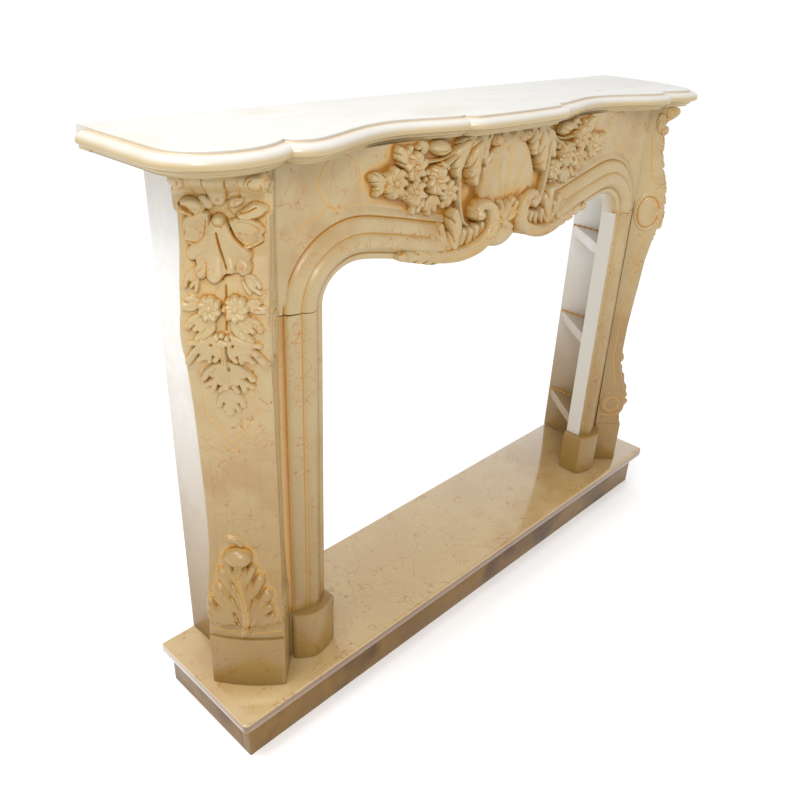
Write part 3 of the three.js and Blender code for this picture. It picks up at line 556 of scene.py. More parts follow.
def carve_right(lay):
    """The right half of the frieze's carving."""
    # Roundel with its tail, and the incised lines that follow the arch
    lay.cut(ellipse((450, 1113), 47, 46, -2.1, 3.6, 26), 1.5, 1.1, 0.6)
    lay.cut(ellipse((450, 1113), 39, 38, -2.6, 2.9, 26), 1.3, 0.5, 0.22)
    lay.cut([(482, 1080), (488, 1070), (484, 1066), (505, 1061), (532, 1050), (552, 1036), (566, 1022)],
            1.5, 1, 0.5)
    lay.cut([(418, 1066), (395, 1068), (372, 1066), (338, 1059), (292, 1049)], 1.4, 0.9, 0.45)

    # Shell's side: the flank between its rim and the leaves
    lay.stem([(152, 1104), (149, 1066), (143, 1026), (132, 996), (118, 984)], 7, 17)
    # Stems, and the acanthus that hangs beside the shell
    lay.stem([(60, 1160), (96, 1148), (134, 1138), (172, 1122), (206, 1104)], 6, 19)
    lay.stem([(168, 1118), (210, 1112), (252, 1101), (290, 1094)], 4.5, 10)
    lay.stem([(150, 1136), (200, 1122), (256, 1122)], 4.5, 10)
    for line, width, rise, base in (([(120, 1156), (146, 1130), (164, 1086)], 40, 18, 3),
                                    ([(72, 1160), (84, 1138), (84, 1100)], 30, 20, 5),
                                    ([(96, 1160), (112, 1120), (114, 1064)], 42, 24, 6)):
        lay.leaf(line, width, rise, 3, base)
    lay.ball((47, 1146), 16, 15, 27, base=3, power=0.35)
    lay.cut([(56, 1154), (58, 1142), (48, 1136), (41, 1144), (47, 1150)], 1.3, 3.5, 0.8)

    # Spray of flowers, buds and leaves
    lay.patch([(178, 1136), (186, 1152), (204, 1159), (226, 1156), (236, 1145), (222, 1134), (200, 1128)],
              21, base=2, rim=15)
    lay.cut([(186, 1150), (200, 1140), (224, 1138)], 1.4, 3, 0.8)
    lay.spray((238, 1150), ((256, 1157, 10), (266, 1149, 10), (254, 1140, 10)), 10, 10, base=1)
    for line, width, rise, base in (([(340, 1096), (362, 1104), (388, 1114)], 28, 12, 2),
                                    ([(344, 1094), (360, 1090), (376, 1078)], 22, 11, 2),
                                    ([(296, 1122), (308, 1138), (322, 1158)], 30, 14, 2),
                                    ([(290, 1122), (292, 1138), (284, 1156)], 20, 11, 1)):
        lay.leaf(line, width, rise, 2, base)
    lay.spray((252, 1066), ((250, 1044, 12), (262, 1036, 13), (276, 1034, 12)), 13, 12, 1, 1.5)
    lay.spray((222, 1060), ((206, 1042, 12), (216, 1030, 12), (232, 1026, 13), (240, 1036, 12)), 12, 13, 1, 1.5)
    lay.spray((190, 1044), ((188, 1032, 11), (174, 1032, 11)), 11, 10, 1)
    for centre, radius, rise, petals, base, twist, turn, button in (
            ((327, 1095), 26, 15, 7, 4, 0.9, 0, 0.26), ((276, 1117), 25, 15, 7, 5, -0.8, 0.6, 0.26),
            ((273, 1072), 23, 14, 6, 4, 0.4, 0.3, 0.26), ((216, 1086), 26, 16, 8, 6, -0.3, 0, 0.22),
            ((178, 1058), 21, 13, 6, 5, 0.6, 0.4, 0.26)):
        lay.flower(centre, radius, rise, petals, base, twist, turn, button)
    for x, z, wide in ((300, 1074, 11), (306, 1068, 10), (243, 1104, 11), (248, 1092, 11), (196, 1112, 12),
                       (186, 1106, 11), (302, 1106, 9), (246, 1062, 9)):
        lay.ball((x, z), wide * 0.55, wide * 0.6, 13, base=4, power=0.4)

    # The C-scroll, the leaves on its back and its rolled eye
    for line, width, rise in (([(186, 946), (212, 962), (232, 986)], 30, 17),
                              ([(176, 948), (196, 972), (204, 1004)], 34, 20),
                              ([(160, 950), (158, 986), (166, 1026)], 44, 24)):
        lay.leaf(line, width, rise, 2, base=3)
    lay.leaf([(150, 934), (214, 940), (270, 948), (322, 962)], 46, 19, 5, base=3, sweep=0.6)
    lay.leaf([(214, 944), (244, 956), (262, 978)], 24, 17, 2, base=3)
    lay.leaf([(240, 948), (268, 958), (288, 976)], 22, 15, 2, base=3)
    lay.ball((308, 957), 15, 12, 24, base=4, power=0.4)
    lay.ball((311, 958), 6, 5, -9, base=24)
    lay.cut([(318, 962), (306, 967), (297, 958)], 1.4, 4, 0.9)
    lay.scroll([(102, 1002), (99, 1014), (85, 1022), (67, 1018), (53, 1000), (50, 976), (62, 954), (88, 940),
                (122, 932), (160, 930), (206, 935), (252, 945)], [8, 11, 14, 16, 17, 17, 16, 15, 14, 11, 6],
               [26, 31, 32, 32, 32, 32, 30, 27, 24, 19, 12], base=4, hollow=0.14)
    lay.cut([(84, 1010), (72, 1006), (64, 992), (62, 976), (72, 961), (94, 949), (124, 943)], 1.3, 1.6, 0.4)
    lay.ball((91, 1002), 14, 14, 32, base=5, power=0.35)
    lay.cut([(104, 1004), (98, 992), (86, 992), (82, 1002)], 1.4, 5, 0.9)
    for u, v, x, z, wide in ((148, 940, 134, 974, 19), (126, 939, 112, 972, 19), (104, 943, 94, 976, 19),
                             (84, 955, 78, 982, 16)):
        lay.drop([(u, v), (0.5 * (u + x) - 5, 0.5 * (v + z)), (x, z)], wide, 22, base=5, crease=2)
    # Leaves that hang from the top of the shell
    lay.spray((24, 1164), ((32, 1138, 13), (20, 1134, 13), (10, 1140, 12)), 13, 17, base=7, crease=2)


def carve_middle(lay):
    """The pendant under the palmette."""
    lay.patch([(-40, 984), (-50, 960), (-50, 936), (-26, 920), (0, 915), (26, 920), (50, 936), (50, 960),
               (40, 984)], 20, rim=26)
    for m in (-1, 1):
        lay.cut([(m * 4, 968), (m * 18, 950), (m * 26, 926)], 1.8, 1.6, 0.35)
        lay.cut([(m * 12, 974), (m * 34, 956), (m * 46, 936)], 1.8, 1.4, 0.35)
        lay.cut([(m * 6, 960), (m * 9, 944), (m * 11, 924)], 1.8, 1.4, 0.3)
        lay.spray((m * 6, 972), ((m * 38, 990, 15), (m * 36, 1008, 16), (m * 22, 1018, 15)), 15, 22, 5, 2)
        lay.drop([(m * 2, 970), (m * 14, 966), (m * 26, 958)], 15, 20, base=5, crease=2)
    lay.drop([(0, 968), (1, 986), (3, 1010)], 20, 25, base=5, crease=2.5)
    lay.ball((1, 970), 11, 11, 27, base=4, power=0.4)


def carve_shell(relief):
    """A fan of wide flutes between fine double ribs, its rim rolled over at the top."""
    da, db = relief.a - 3, relief.b - 972
    r = np.hypot(da, db)
    angle = np.arctan2(da, db)
    spread = math.radians(62)
    near = np.nonzero((r < 185) & (np.abs(angle) < spread + 0.05) & (db > 0))
    r, angle = r[near], angle[near]
    flutes = 6
    f = (angle / spread * 0.5 + 0.5) * flutes
    part = np.abs(np.mod(f, 1) - 0.5) * 2
    rim = 190 - 95 * (np.abs(angle) / spread) ** 1.3 * (1 + 0.05 * part ** 3)
    q = r / rim
    gap = (1 - part) * r * spread / flutes
    lines = np.exp(-((gap - 1.0) / 1.2) ** 2) + 0.8 * np.exp(-((gap - 6.5) / 1.1) ** 2) * smooth(0.3, 0.5, q)
    rise = 13 + 11 * smooth(0.15, 0.8, q)
    edge = np.sqrt(np.clip(1 - np.clip((q - 0.88) / 0.12, 0, 1) ** 2, 0, 1))
    side = smooth(0, 0.1, (spread - np.abs(angle)) * r / 160)
    height = (rise - 4.0 * (1 - part ** 2) * smooth(0.2, 0.6, q) - 1.5 * lines) * edge * side
    # Amber in the grooves beside the ribs: partly wax, partly painted shade
    relief.stain[near] = np.maximum(relief.stain[near], 0.5 * lines * side * smooth(0.1, 0.3, q))
    relief.lay(near, height, q < 1)


def build_frieze(material):
    half, tallest = mitre_at(GROUND), 250
    # Columns stand closest where the carving is finest
    right = zoned([(0, 1.75), (385, 2.2), (OPENING, 3.4), (580, 1.8), (half, 0)])
    x = np.concatenate([-right[:0:-1], right])
    cell = 1.8 * COARSE
    share = np.linspace(0, 1, int(tallest / cell))[:, None]
    low = np.where(np.abs(x) >= OPENING - 0.01, JOINT_TOP + HAIR, lower_edge(x))
    b = low + share * (SHELF_BOTTOM - GAP - low)

    relief = Relief(x, b)
    a = relief.a
    carve_shell(relief)
    for side in (1, -1):
        relief.a = a * side
        carve_right(relief)
    relief.a = a
    carve_middle(relief)
    # Amber where the carving lies low: partly wax, partly painted shade
    relief.darken_hollows(cell, 0.65, 0.38)
    # Above the opening the face swells at its ends to meet the consoles' corners
    seat = np.minimum(7.2 * smooth(528, 591, np.abs(a)),
                      (CONSOLE_BACK - math.sin(CANT) * np.abs(a)) / math.cos(CANT) - GROUND - 0.4)
    relief.h += np.clip(seat, 0, None) * smooth(905, 932, b)
    # The opening's edge sinks behind the moulding that is laid over it
    under = smooth(305, 335, np.abs(a)) * (1 - smooth(60, 78, b - low))
    relief.h -= 3 * under * (np.abs(a) < OPENING + 70)

    bm = bmesh.new()
    sheet(bm, to_world(a, GROUND + relief.h, b), relief.stain)
    # Its rim is drawn back to a sawn face, mitred where the consoles stand
    made = bmesh.ops.extrude_edge_only(bm, edges=[e for e in bm.edges if e.is_boundary])["geom"]
    back = GROUND - SLAB
    limit = mitre_at(back) / half
    stain, sawn = bm.verts.layers.float["stain"], bm.verts.layers.float["sawn"]
    for vert in [g for g in made if isinstance(g, bmesh.types.BMVert)]:
        vert.co.y = (WALL - back) / 1000
        vert[stain], vert[sawn] = 0.0, 1.0
        if abs(vert.co.x) > (half - 0.5) / 1000:
            vert.co.x *= limit
    bmesh.ops.holes_fill(bm, edges=[e for e in bm.edges if e.is_boundary], sides=0)

    # Moulding swept along the arch, a tenth narrower towards the scroll that buries its ends
    points = arch_line(90)
    steps = np.vstack([[(1.5, 2 - SLAB)], MOULDING, [(104, 2 - SLAB)]])
    narrow = 1 - 0.1 * np.clip(np.linspace(0, 2, len(points)), 0, 1)
    out = steps[:, 0] * narrow[:, None]
    run = points[:, None] + outward(points)[:, None] * out[..., None]
    for side in (1, -1):
        places = to_world(run[..., 0] * side, GROUND + steps[:, 1], np.maximum(run[..., 1], JOINT_TOP + HAIR))
        close_tube(bm, sheet(bm, places, moulding_amber_and_shade(steps[:, 0])))
    bmesh.ops.recalc_face_normals(bm, faces=bm.faces[:])
    finish_piece(bm, "carved_frieze", "frieze", material, sharp=50)


# Canted consoles

# A console's outline from the side, and half its width, at heights from the floor
CONSOLE_PROFILE = np.array([
    (248.3, 656), (262, 655.5), (276, 654), (280, 652.6), (284, 654.5), (290, 658), (297, 661.5), (305, 663),
    (320, 662), (345, 657.5), (370, 650.5), (395, 642.5), (420, 635.5), (450, 631), (500, 630), (560, 630.4),
    (640, 635.5), (700, 640), (760, 643.6), (800, 650), (835, 656), (860, 661.5), (880, 666), (895, 667),
    (925, 663.5), (955, 658), (985, 651), (1010, 642), (1030, 634.5), (1050, 631), (1070, 629), (1085, 628),
    (1105, 628.5), (1118, 630.5), (1128, 637), (1135, 647), (1141, 653.5), (1147, 656.5), (1153, 656.5),
    (1158, 653), (1161.7, 650)])
CONSOLE_HALF = np.array([
    (248, 75), (300, 73.5), (350, 72), (430, 69), (500, 68), (700, 68.5), (900, 70.5), (1162, 71)])


def carve_console(lay):
    """Front of a console; a runs towards the opening."""
    # Flutes under the shelf, with the tongue between them
    for u in (-41, -20, 12, 31):
        lay.cut([(u, 1165), (u, 1140), (u * 0.95, 1118)], 1.7, 2.0, 0.35)
    lay.patch([(-19, 1168), (-20, 1130), (-14, 1110), (-4, 1104), (6, 1109), (11, 1128), (10, 1168)], 6.5,
              rim=9)
    # Rolled ends at the corners
    for centre, radius in (((58, 1141), 17), ((-63, 1143), 15)):
        lay.ball(centre, radius, radius, 6, power=0.3)
        lay.cut(spiral(centre, radius - 4, 1.9, 5.2, 11), 1.2, 2.4, 0.8)
    # Lobes turned out below the rolls
    lay.patch([(-67, 1100), (-61, 1112), (-48, 1118), (-34, 1115), (-24, 1106), (-26, 1095), (-42, 1087),
               (-60, 1090)], 14, rim=8, dish=5)
    lay.cut([(-68, 1104), (-57, 1101), (-47, 1094), (-40, 1090)], 3.4, 7, 1.0)
    lay.cut([(-26, 1106), (-34, 1094), (-44, 1086)], 1.1, 2.5, 0.5)
    lay.patch([(22, 1095), (34, 1103), (50, 1113), (68, 1108), (70, 1098), (58, 1088), (40, 1084), (26, 1087)],
              13, rim=7, dish=3)
    lay.cut([(70, 1100), (59, 1091), (44, 1087)], 1.8, 4.5, 1.0)
    lay.cut([(28, 1097), (40, 1099), (56, 1107)], 1.4, 3.5, 0.85)
    lay.patch([(-36, 1119), (-24, 1122), (-12, 1112), (-12, 1101), (-24, 1101)], 7, rim=5)
    lay.patch([(8, 1113), (20, 1120), (36, 1119), (32, 1109), (16, 1103)], 7, rim=5)
    lay.cut([(8, 1104), (16, 1094), (30, 1086)], 1.3, 2.5, 0.7)

    # The ruffled leaf: two upper lobes, hollowed, then broad lobes that spread from the berry
    lay.patch([(-30, 1097), (-46, 1091), (-59, 1083), (-62, 1070), (-58, 1062), (-61, 1053), (-52, 1044),
               (-38, 1043), (-28, 1052), (-20, 1074), (-18, 1094)], 7.5, base=2, rim=4.5, dish=3.5)
    lay.patch([(10, 1084), (24, 1089), (42, 1087), (57, 1081), (65, 1069), (60, 1062), (63, 1055), (52, 1046),
               (36, 1042), (22, 1054)], 7, base=2, rim=4, dish=5)
    lay.cut([(63, 1052), (50, 1046), (34, 1048)], 2.6, 1.5, 0.65)
    lay.cut([(62, 1078), (52, 1072), (44, 1076)], 2.0, 1.2, 0.5)
    lay.cut([(-58, 1051), (-47, 1048), (-35, 1051), (-27, 1064), (-24, 1086)], 1.2, 3, 0.85)
    lay.patch([(-14, 1088), (-22, 1074), (-28, 1058), (-38, 1046), (-48, 1042), (-44, 1024), (-34, 1002),
               (-14, 996), (8, 1004), (30, 1008), (40, 1022), (34, 1042), (22, 1058), (10, 1076), (2, 1088)],
              6, base=3, rim=6)
    for u, z, wide in ((-47, 1032, 21), (-33, 1007, 23), (-12, 1001, 22), (12, 1014, 20), (33, 1015, 25),
                       (34, 1032, 22)):
        lay.drop([(-4, 1082), (-4 + 0.36 * (u + 4), 0.5 * (1082 + z)), (u, z)], wide, 9.5, base=3, root=0.4,
                 flat=3.4)
    lay.drop([(-6, 1078), (-14, 1044), (-12, 1006)], 30, 10.5, base=3, root=0.5, flat=4)
    lay.ball((-4, 1085), 10, 8.5, 15, base=3, power=0.35)
    lay.cut([(-16, 1092), (-13, 1079), (-4, 1074), (6, 1079), (8, 1090)], 1.1, 2.2, 0.6)
    lay.cut([(-9, 1068), (-4, 1045), (8, 1010)], 1.5, 5.5, 1.0)
    lay.cut([(12, 1074), (20, 1059), (34, 1045)], 1.8, 5, 1.0)
    lay.cut([(-27, 1026), (-24, 1010), (-26, 996)], 1.2, 2, 0.5)
    lay.cut([(24, 1028), (20, 1014), (26, 1004)], 1.2, 1.8, 0.45)
    lay.cut([(14, 1005), (4, 1001), (-3, 993)], 1.7, 3.5, 0.9)
    lay.cut([(-50, 1022), (-44, 1019), (-42, 1010)], 1.4, 2.5, 0.7)

    # Leaflets beside it
    lay.spray((-42, 1010), ((-58, 990, 8), (-60, 981, 8), (-50, 982, 7)), 8, 7, crease=1.4)
    lay.drop([(-38, 1000), (-40, 988), (-42, 977)], 8, 7)
    lay.spray((34, 1002), ((50, 996, 8), (57, 986, 9), (58, 976, 8)), 8, 7, crease=1.4)
    lay.drop([(30, 994), (36, 984), (42, 976)], 8, 6)
    for u, z, tips, width, rise, crease, base in (
            (34, 958, ((57, 962, 9), (63, 950, 14)), 12, 7, 1.4, 0),
            (26, 938, ((54, 928, 9), (58, 918, 12), (46, 916, 10)), 10, 8, 1.6, 0),
            (14, 934, ((36, 916, 10), (32, 906, 12), (22, 912, 9)), 10, 9, 1.6, 0),
            (14, 918, ((44, 900, 10), (56, 890, 9)), 10, 8, 1.2, 0),
            (8, 900, ((17, 864, 11), (26, 862, 10)), 10, 10, 1.6, 1),
            (4, 858, ((30, 842, 9), (40, 826, 12), (38, 812, 12)), 11, 10, 1.8, 0),
            (3, 842, ((26, 806, 12), (15, 804, 10)), 10, 11, 1.8, 1),
            (2, 806, ((20, 772, 12), (12, 764, 11)), 11, 7, 1.8, 0)):
        for m in (-1, 1):
            lay.spray((m * u, z), [(m * a, b, wide) for a, b, wide in tips], width, rise, base, crease)
    for m in (-1, 1):
        lay.spray((m * 12, 908), ((m * 50, 876, 12), (m * 64, 854, 13), (m * 44, 862, 12), (m * 33, 868, 12)),
                  12, 11, crease=2.2, bow=0.06)
    for u in (-21, 14):
        lay.cut([(u, 895), (u, 889)], 2.2, 5, 0.6)
    lay.cut([(4, 990), (5, 966), (6, 942), (3, 912)], 1.6, 3.5, 0.95)
    lay.stem([(-3, 898), (-3, 872), (-3, 846)], 6, 10, taper=0)
    lay.cut([(-3, 894), (-3, 870), (-3, 850)], 1.1, 2.2, 0.5)
    lay.drop([(-3, 850), (-3, 830), (-4, 812)], 15, 12, base=2, crease=2.5)
    lay.drop([(-3, 808), (-3, 784), (-3, 758)], 17, 8, crease=2.2)
    lay.flower((-21, 951), 19, 9, 8, base=3, twist=0.8)
    lay.flower((20, 952), 20, 9, 8, base=3, twist=0.8, turn=0.3)
    for u, z in ((-3, 909), (-11, 904), (5, 904), (-8, 896), (3, 896)):
        lay.ball((u, z), 5.0, 5.0, 8.5, base=2, power=0.4)

    # Sunk panels down the shaft, with their frames
    for u in (-48, 40):
        lay.cut([(u, 846), (u, 790), (u, 742)], 1.5, 1.6, 0.45)
    lay.cut([(-48, 742), (-30, 732), (-4, 697), (22, 732), (40, 742)], 1.5, 1.6, 0.5)
    lay.cut([(-56, 720), (-30, 708), (-4, 676), (22, 708), (50, 720)], 1.3, 1.0, 0.3)
    for u, low in ((-48, 300), (40, 300), (-25, 480), (17, 480)):
        lay.cut([(u, 690), (u, 560), (u, low)], 2.6, 1.2, 0.06)
    lay.cut([(-25, 690), (-14, 684), (-4, 668), (6, 684), (17, 690)], 2.4, 1.2, 0.06)

    # Acanthus that climbs from the foot to its rolled tip
    lay.patch([(-16, 268), (-50, 270), (-64, 284), (-60, 300), (-40, 306), (-20, 296)], 5, rim=9)
    lay.patch([(12, 268), (42, 270), (56, 284), (52, 298), (34, 304), (16, 292)], 5, rim=9)
    lay.spray((-18, 290), ((-66, 338, 19), (-70, 318, 16), (-50, 350, 17)), 16, 10, base=1, crease=2)
    lay.spray((14, 288), ((50, 336, 18), (56, 318, 15), (34, 340, 15)), 15, 10, base=1, crease=2)
    lay.spray((-14, 276), ((-44, 290, 14), (-56, 282, 13)), 13, 9)
    lay.spray((14, 276), ((38, 290, 14), (50, 281, 12)), 13, 9)
    lay.leaf([(-2, 272), (5, 310), (0, 356), (-12, 430)], 50, 10, 4, base=1, sweep=0.75)
    for u, v, x, z, wide in ((0, 322, -47, 370, 23), (-2, 350, -42, 400, 21), (-8, 380, -35, 428, 18),
                             (4, 322, 46, 362, 22), (2, 350, 32, 392, 20), (-4, 378, 16, 414, 17)):
        lay.drop([(u, v), (0.55 * (u + x), 0.5 * (v + z) - 5), (x, z)], wide, 11, base=1, crease=2.2)
    lay.stem([(-4, 266), (5, 300), (3, 340), (-5, 370), (-15, 420)], 7, 14, base=2, taper=0.35)
    for shift in (-2.6, 2.6):
        lay.cut([(-4 + shift, 266), (5 + shift, 300), (3 + shift, 340), (-5 + shift, 370), (-15 + shift, 412)],
                1.1, 2.2, 0.5)
    lay.ball((-10, 437), 27, 19, 20, base=3, power=0.4)
    lay.drop([(-4, 462), (-14, 472), (-27, 474)], 15, 8, root=0.7)
    lay.cut([(-34, 430), (-20, 424), (-8, 426), (2, 420)], 1.7, 5, 0.85)
    lay.cut([(6, 430), (10, 422), (6, 412)], 1.4, 4, 0.85)
    for u, z in ((-14, 298), (8, 282)):
        lay.cut([(u, z + 6), (u, z - 6)], 2.4, 6, 1.0)
    lay.cut([(-74, 266), (-30, 263), (0, 262), (30, 263), (74, 266)], 1.6, 1.6, 0.5)


def carve_console_side(lay):
    """Side of a console: a runs forward from its back, with the oval boss, volutes and incised lines."""
    lay.ball((41, 896), 39, 52, 4.2, power=0.16)
    lay.cut(ellipse((39, 895), 29, 41, 0, 2 * math.pi, 40), 2.0, 2.6, 0.9)
    lay.ball((39, 895), 26, 38, 6.4, power=0.2)
    lay.ball((37, 318), 35, 36, 3.4, power=0.16)
    lay.cut(ellipse((39, 317), 22, 22, 0, 2 * math.pi, 30), 1.8, 2.0, 0.8)
    lay.ball((39, 317), 18, 18, 5.2, power=0.22)
    lay.ball((54, 1147), 13, 13, 4.6, power=0.2)
    lay.cut(spiral((54, 1147), 10, 0, 10, 20), 1.1, 1.8, 0.8)
    lay.cut([(15, 1100), (16, 1070), (22, 1040), (28, 1010), (37, 985), (52, 955)], 1.5, 1.5, 0.55)
    lay.cut([(50, 845), (42, 820), (37, 780), (29, 690), (22, 560), (22, 470), (27, 440), (33, 410), (43, 370)],
            1.5, 1.5, 0.55)
    lay.cut([(2, 280), (30, 279), (70, 280)], 1.4, 1.5, 0.5)
    lay.leaf([(30, 1136), (38, 1112), (62, 1090)], 34, 6.5, 3, sweep=0.6)
    lay.leaf([(46, 1122), (58, 1112), (72, 1106)], 20, 6, 2)


def build_console(name, side, material):
    """A wrapped sheet: up one side, over the front and down the other, closed at the back."""
    bottom, top = FOOT_TOP + GAP, SHELF_BOTTOM - GAP
    z = zoned([(bottom, 1.4), (485, 5.0), (742, 1.4), (top, 0)])
    out = np.interp(z, CONSOLE_PROFILE[:, 0], CONSOLE_PROFILE[:, 1]) - CONSOLE_BACK
    half = np.interp(z, CONSOLE_HALF[:, 0], CONSOLE_HALF[:, 1])
    # Shares of the half width across the front, and of the depth along a side
    u = zoned([(-1, 1.35 / 72), (1, 0)])
    f = zoned([(0, 2.0 / 72), (1, 0)])[:-1]

    across = u * half[:, None]
    face = Relief(across, z[:, None])
    carve_console(face)
    bulge = BULGE * (1 - u ** 2)
    rest = half[:, None] - np.abs(across)
    front_out = out[:, None] + bulge - 1.6 * np.exp(-rest / 1.5) + face.h * smooth(0, 5, rest + 1.5)

    deep = f * (out[:, None] - 1.2)
    flank = Relief(deep, z[:, None])
    carve_console_side(flank)
    # Amber where the carving lies low: partly wax, partly painted shade
    face.darken_hollows(1.4 * COARSE, 0.4, 0.14)
    flank.darken_hollows(1.7 * COARSE, 0.4, 0.14)
    wide = half[:, None] + flank.h * smooth(0, 4, out[:, None] - deep) * (f > 0)

    left = np.stack([-wide, deep], -1)
    middle = np.stack([across, front_out], -1)
    right = np.stack([wide, deep], -1)[:, ::-1]
    plan = np.concatenate([left, middle, right], axis=1)
    stain = np.concatenate([flank.stain, face.stain, flank.stain[:, ::-1]], axis=1)
    x, depth = from_canted(CONSOLE_MIDDLE - plan[..., 0], CONSOLE_BACK + plan[..., 1])

    bm = bmesh.new()
    close_tube(bm, sheet(bm, to_world(side * x, depth, z[:, None]), stain))
    bmesh.ops.recalc_face_normals(bm, faces=bm.faces[:])
    finish_piece(bm, f"carved_console_{name}", f"console_{name}", material, sharp=50)


def build_console_foot(name, side, material):
    front = [(FOOT_HALF * u, 76 + BULGE * (1 - u * u)) for u in np.linspace(-1, 1, 15)]
    corners = [from_canted(CONSOLE_MIDDLE - u, CONSOLE_BACK + out)
               for u, out in [(-FOOT_HALF, 0)] + front + [(FOOT_HALF, 0)]]
    slab_piece(f"console_block_{name}", f"console_foot_{name}", material,
               [(side * x, depth) for x, depth in corners], HEARTH_TOP + GAP, FOOT_TOP - 0.2, bevel=2.0)


# Jambs

def build_jamb(name, side, material):
    back = [(mitre_at(GROUND) - OPENING, 0), (mitre_at(GROUND - SLAB) - OPENING, -SLAB)]
    away, proud = np.vstack([[(0, -SLAB)], MOULDING[MOULDING[:, 0] <= 84.1], back]).T
    levels = np.array([[BLOCK_TOP - 0.1], [400], [650], [JOINT_TOP - HAIR]])
    bm = bmesh.new()
    close_tube(bm, sheet(bm, to_world(side * (OPENING + away), GROUND + proud, levels),
                         moulding_amber_and_shade(away) * (proud > 0), (away < 0.3) | (proud < 0)))

    # Foot block, its top eased back to the shaft in a soft step
    front = [(-13, 21), (-12, 25), (-1, 31), (20, 39), (47, 43), (66, 37), (80, 27), (92, 15), (86, 8)]
    away, proud = np.vstack([[(-13, -SLAB)], curve(front, 44), back]).T
    level, ease = np.array([(HEARTH_TOP + GAP, 1.0), (HEARTH_TOP + 1.4, 0), (BLOCK_TOP - 9, 0),
                            (BLOCK_TOP - 4, 0.9), (BLOCK_TOP - 1, 2.6), (BLOCK_TOP, 5.5)]).T[:, :, None]
    close_tube(bm, sheet(bm, to_world(side * (OPENING + away + ease * (away < 0)),
                                      GROUND + proud - ease * (proud > 0), level)))
    bmesh.ops.recalc_face_normals(bm, faces=bm.faces[:])
    finish_piece(bm, f"moulded_jamb_{name}", f"jamb_{name}", material, sharp=32)


# Shelf

# Section of its edge: distance out from the plan, and height
SHELF_EDGE = np.array([
    (-2, 1200), (-0.6, 1199.8), (0, 1199), (0, 1195.6), (0.6, 1195), (2.5, 1195.2), (6, 1195.4), (10, 1194.8),
    (14, 1193.2), (17.5, 1190.6), (20, 1187.4), (21.3, 1183.6), (21.4, 1180.2), (20, 1177.2), (17.2, 1175.2),
    (13, 1174), (8.6, 1173.6), (7.4, 1172.8), (7.2, 1170.6), (6.2, 1168.6), (4.2, 1167.2), (1.6, 1166.4),
    (0, 1165.6), (-1, 1164), (-1, SHELF_BOTTOM)])
SHELF_PROUD = 21.5


def meet(first, second):
    """Cuts two lines at their crossing: the first up to it, the second from it."""
    for i in range(len(first) - 2, -1, -1):
        p, r = first[i], first[i + 1] - first[i]
        q, s = second[:-1], np.diff(second, axis=0)
        turn = r[0] * s[:, 1] - r[1] * s[:, 0]
        turn = np.where(np.abs(turn) < 1e-12, 1e-12, turn)
        t = ((q[:, 0] - p[0]) * s[:, 1] - (q[:, 1] - p[1]) * s[:, 0]) / turn
        v = ((q[:, 0] - p[0]) * r[1] - (q[:, 1] - p[1]) * r[0]) / turn
        hit = np.nonzero((t >= 0) & (t <= 1) & (v >= 0) & (v <= 1))[0]
        if len(hit):
            j = hit[0]
            crossing = p + r * t[j]
            return np.vstack([first[:i + 1], crossing]), np.vstack([crossing, second[j + 1:]])
    return first, second


def shelf_half(corner, distance, half):
    """The shelf's edge from the wall round one corner to the middle, at a distance out from the plan."""
    def waves(*points):
        line = bezier([(share * half, GROUND + proud) for share, proud in points], 60)
        return line + outward(line) * distance

    first = waves(*corner, (0.869, 54), (0.82, 54), (0.778, 40), (0.738, 14))
    second = waves((0.757, 8), (0.748, 44), (0.716, 54), (0.676, 46), (0.605, 32), (0.515, -9), (0.42, -9),
                   (0.345, -9), (0.27, 16), (0.215, 19), (0.198, 20), (0.186, 12), (0.182, -2))
    third = waves((0.208, -6), (0.196, 14), (0.19, 36), (0.165, 38), (0.11, 40), (0.05, 42), (0, 42))
    first, second = meet(first, second)
    second, third = meet(second, third)
    return np.vstack([np.linspace((half + distance, 0), first[0], 12)[:-1], resampled(first, 44),
                      resampled(second, 70)[1:], resampled(third, 34)[1:]])


def build_shelf(material):
    """Rings of the moulded edge, one below another, its right corner rounder than its left."""
    half = SHELF_HIGH[0] - SHELF_PROUD
    rings = []
    for distance, level in SHELF_EDGE:
        right, left = (shelf_half(corner, distance, half) for corner in (
            ((1, -176), (0.994, -104), (0.94, 54)), ((1, -31), (1, 26), (0.945, 54))))
        ring = np.vstack([right, (left[:-1] * (-1, 1))[::-1]])
        rings.append(to_world(ring[:, 0], ring[:, 1], level))
    bm = bmesh.new()
    levels = SHELF_EDGE[:, 1]
    # Painted shade: an amber band on the small riser under the top's edge, and a warmer tint under the roll for
    # its shade and warm reflected light
    wax_and_shade = 0.42 * np.exp(-((levels - 1196.4) / 2.0) ** 2) + 0.1 * smooth(1177, 1172, levels)
    close_tube(bm, sheet(bm, np.array(rings), wax_and_shade[:, None]))
    # The plain tail that goes into the wall
    tail = bmesh.ops.create_cube(bm, size=0.001)["verts"]
    bmesh.ops.scale(bm, verts=tail, vec=(2 * half, SHELF_TAIL + 4, SHELF_TOP - SHELF_BOTTOM - 0.3))
    bmesh.ops.translate(bm, verts=tail, vec=(0, (WALL + SHELF_TAIL / 2 - 2) / 1000,
                                             (SHELF_TOP + SHELF_BOTTOM - 0.3) / 2000))
    bmesh.ops.recalc_face_normals(bm, faces=bm.faces[:])
    finish_piece(bm, "moulded_shelf", "mantel_shelf", material, sharp=28)


